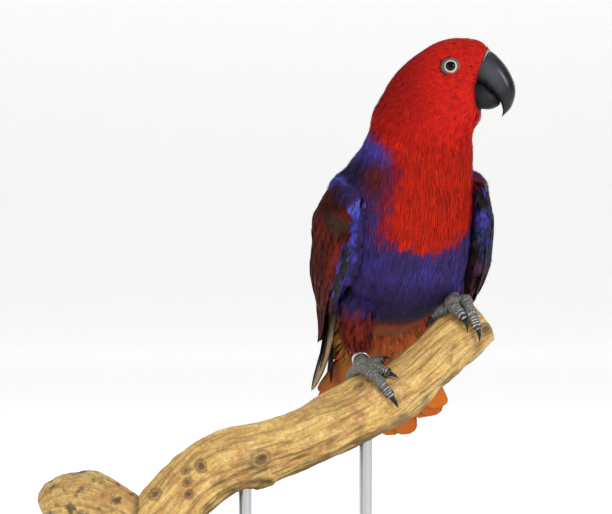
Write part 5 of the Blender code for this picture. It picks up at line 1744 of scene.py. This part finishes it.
def make_tail(finish):
    """The fan, the coverts over its root in three rows, and the many small ones under it."""
    rng = np.random.default_rng(71)
    vanes = Vanes()
    for i, (place, length) in enumerate(TAIL_FEATHERS):
        layer = len(TAIL_FEATHERS) / 2 - abs(i - (len(TAIL_FEATHERS) - 1) / 2)
        height = 0.9 * (layer - 3.2) + (0.3 if place > 0 else 0)
        places, normals = tail_line(place, TAIL_SPREAD, 2.0, length, height)
        points, lie = vane_points(places, normals, TAIL_WIDE, TAIL_OUTLINE, 0.0, 0.02, rng)
        tints = tail_tint(place, lie, rng, False)
        mottles = ramp(rough(points * TAIL_STRETCH, 3.5), -0.2, 0.5)[..., None] * 0.75
        if place > -0.5:
            mottles = mottles * ramp(-lie[..., :1], -0.86, -0.7)
        if place < -0.3:
            yellows = ramp(rough(points * TAIL_STRETCH + 60, 2.4), 0.05, 0.4)[..., None]
            tints = toward(toward(tints, DULL_RED * 1.4, mottles), TAIL_YELLOW * 0.8, yellows * 0.5)
        else:
            tints = toward(tints, OLIVE_RUST * 0.8, mottles)
        vanes.add(points, lie, tints, (0.70 + 0.1 * place, 0.02), length, TAIL_WIDE, i)
    for row in range(3):
        for i in range(TAIL_COVERTS):
            place = 2 * (i + 0.5 * (row % 2)) / (TAIL_COVERTS - 1) - 1
            start = -14.0 + 14.0 * row
            length = start + rng.uniform(34, 42) - 5 * place * place
            layer = TAIL_COVERTS / 2 - abs(i - (TAIL_COVERTS - 1) / 2)
            height = 3.2 + layer * 0.5 + (2 - row) * 1.2
            places, normals = tail_line(place * 0.9, COVERT_SPREAD, start, length, height)
            points, lie = vane_points(places, normals, COVERT_WIDE, SHORT_OUTLINE, 0.0, 0.10, rng)
            tints = tail_tint(place, lie * np.array((0.7, 1, 1)), rng, True)
            vanes.add(points, lie, tints, (0.88 + 0.05 * place, 0.05 + 0.02 * row), length, COVERT_WIDE, 20 + i)
    for i in range(UNDER_COVERTS):
        place = rng.uniform(-3.1, 2.6)
        start = rng.uniform(-26.0, 12.0)
        length = start + rng.uniform(24, 34)
        height = -2.2 - 3.0 * rng.random() - 2.0 * max(0.0, 1 - abs(place)) - 0.06 * (12.0 - start)
        height += 1.5 * max(0.0, abs(place) - 1)
        places, normals = tail_line(place, UNDER_SPREAD, start, length, height)
        points, lie = vane_points(places, -normals, rng.uniform(3.5, 6.0), SHORT_OUTLINE, 0.0, 0.25, rng)
        tint = toward(RUST, OLIVE_RUST, rng.uniform(-0.4, 1.1))
        tint = toward(tint, DULL_RED, ramp(-start, 8.0, 26.0) * rng.uniform(0.5, 1.0))
        tint = toward(tint, TAIL_YELLOW * 0.8, float(ramp(-place, 1.0, 2.2)) * rng.uniform(-0.3, 1.0))
        # Darker towards the root: painted shade where the coverts overlap.
        tints = tint * rng.uniform(0.75, 1.6) * (0.6 + 0.45 * lie[..., :1]) + np.zeros(points.shape)
        vanes.add(points, lie, tints, (0.5 + 0.1 * place, 0.3 + 0.005 * start), length, 5.0, 60 + i)
    vanes.finish("tail_vanes", finish, "tail_plumage", "tail")


make_tail(stiff_feather)
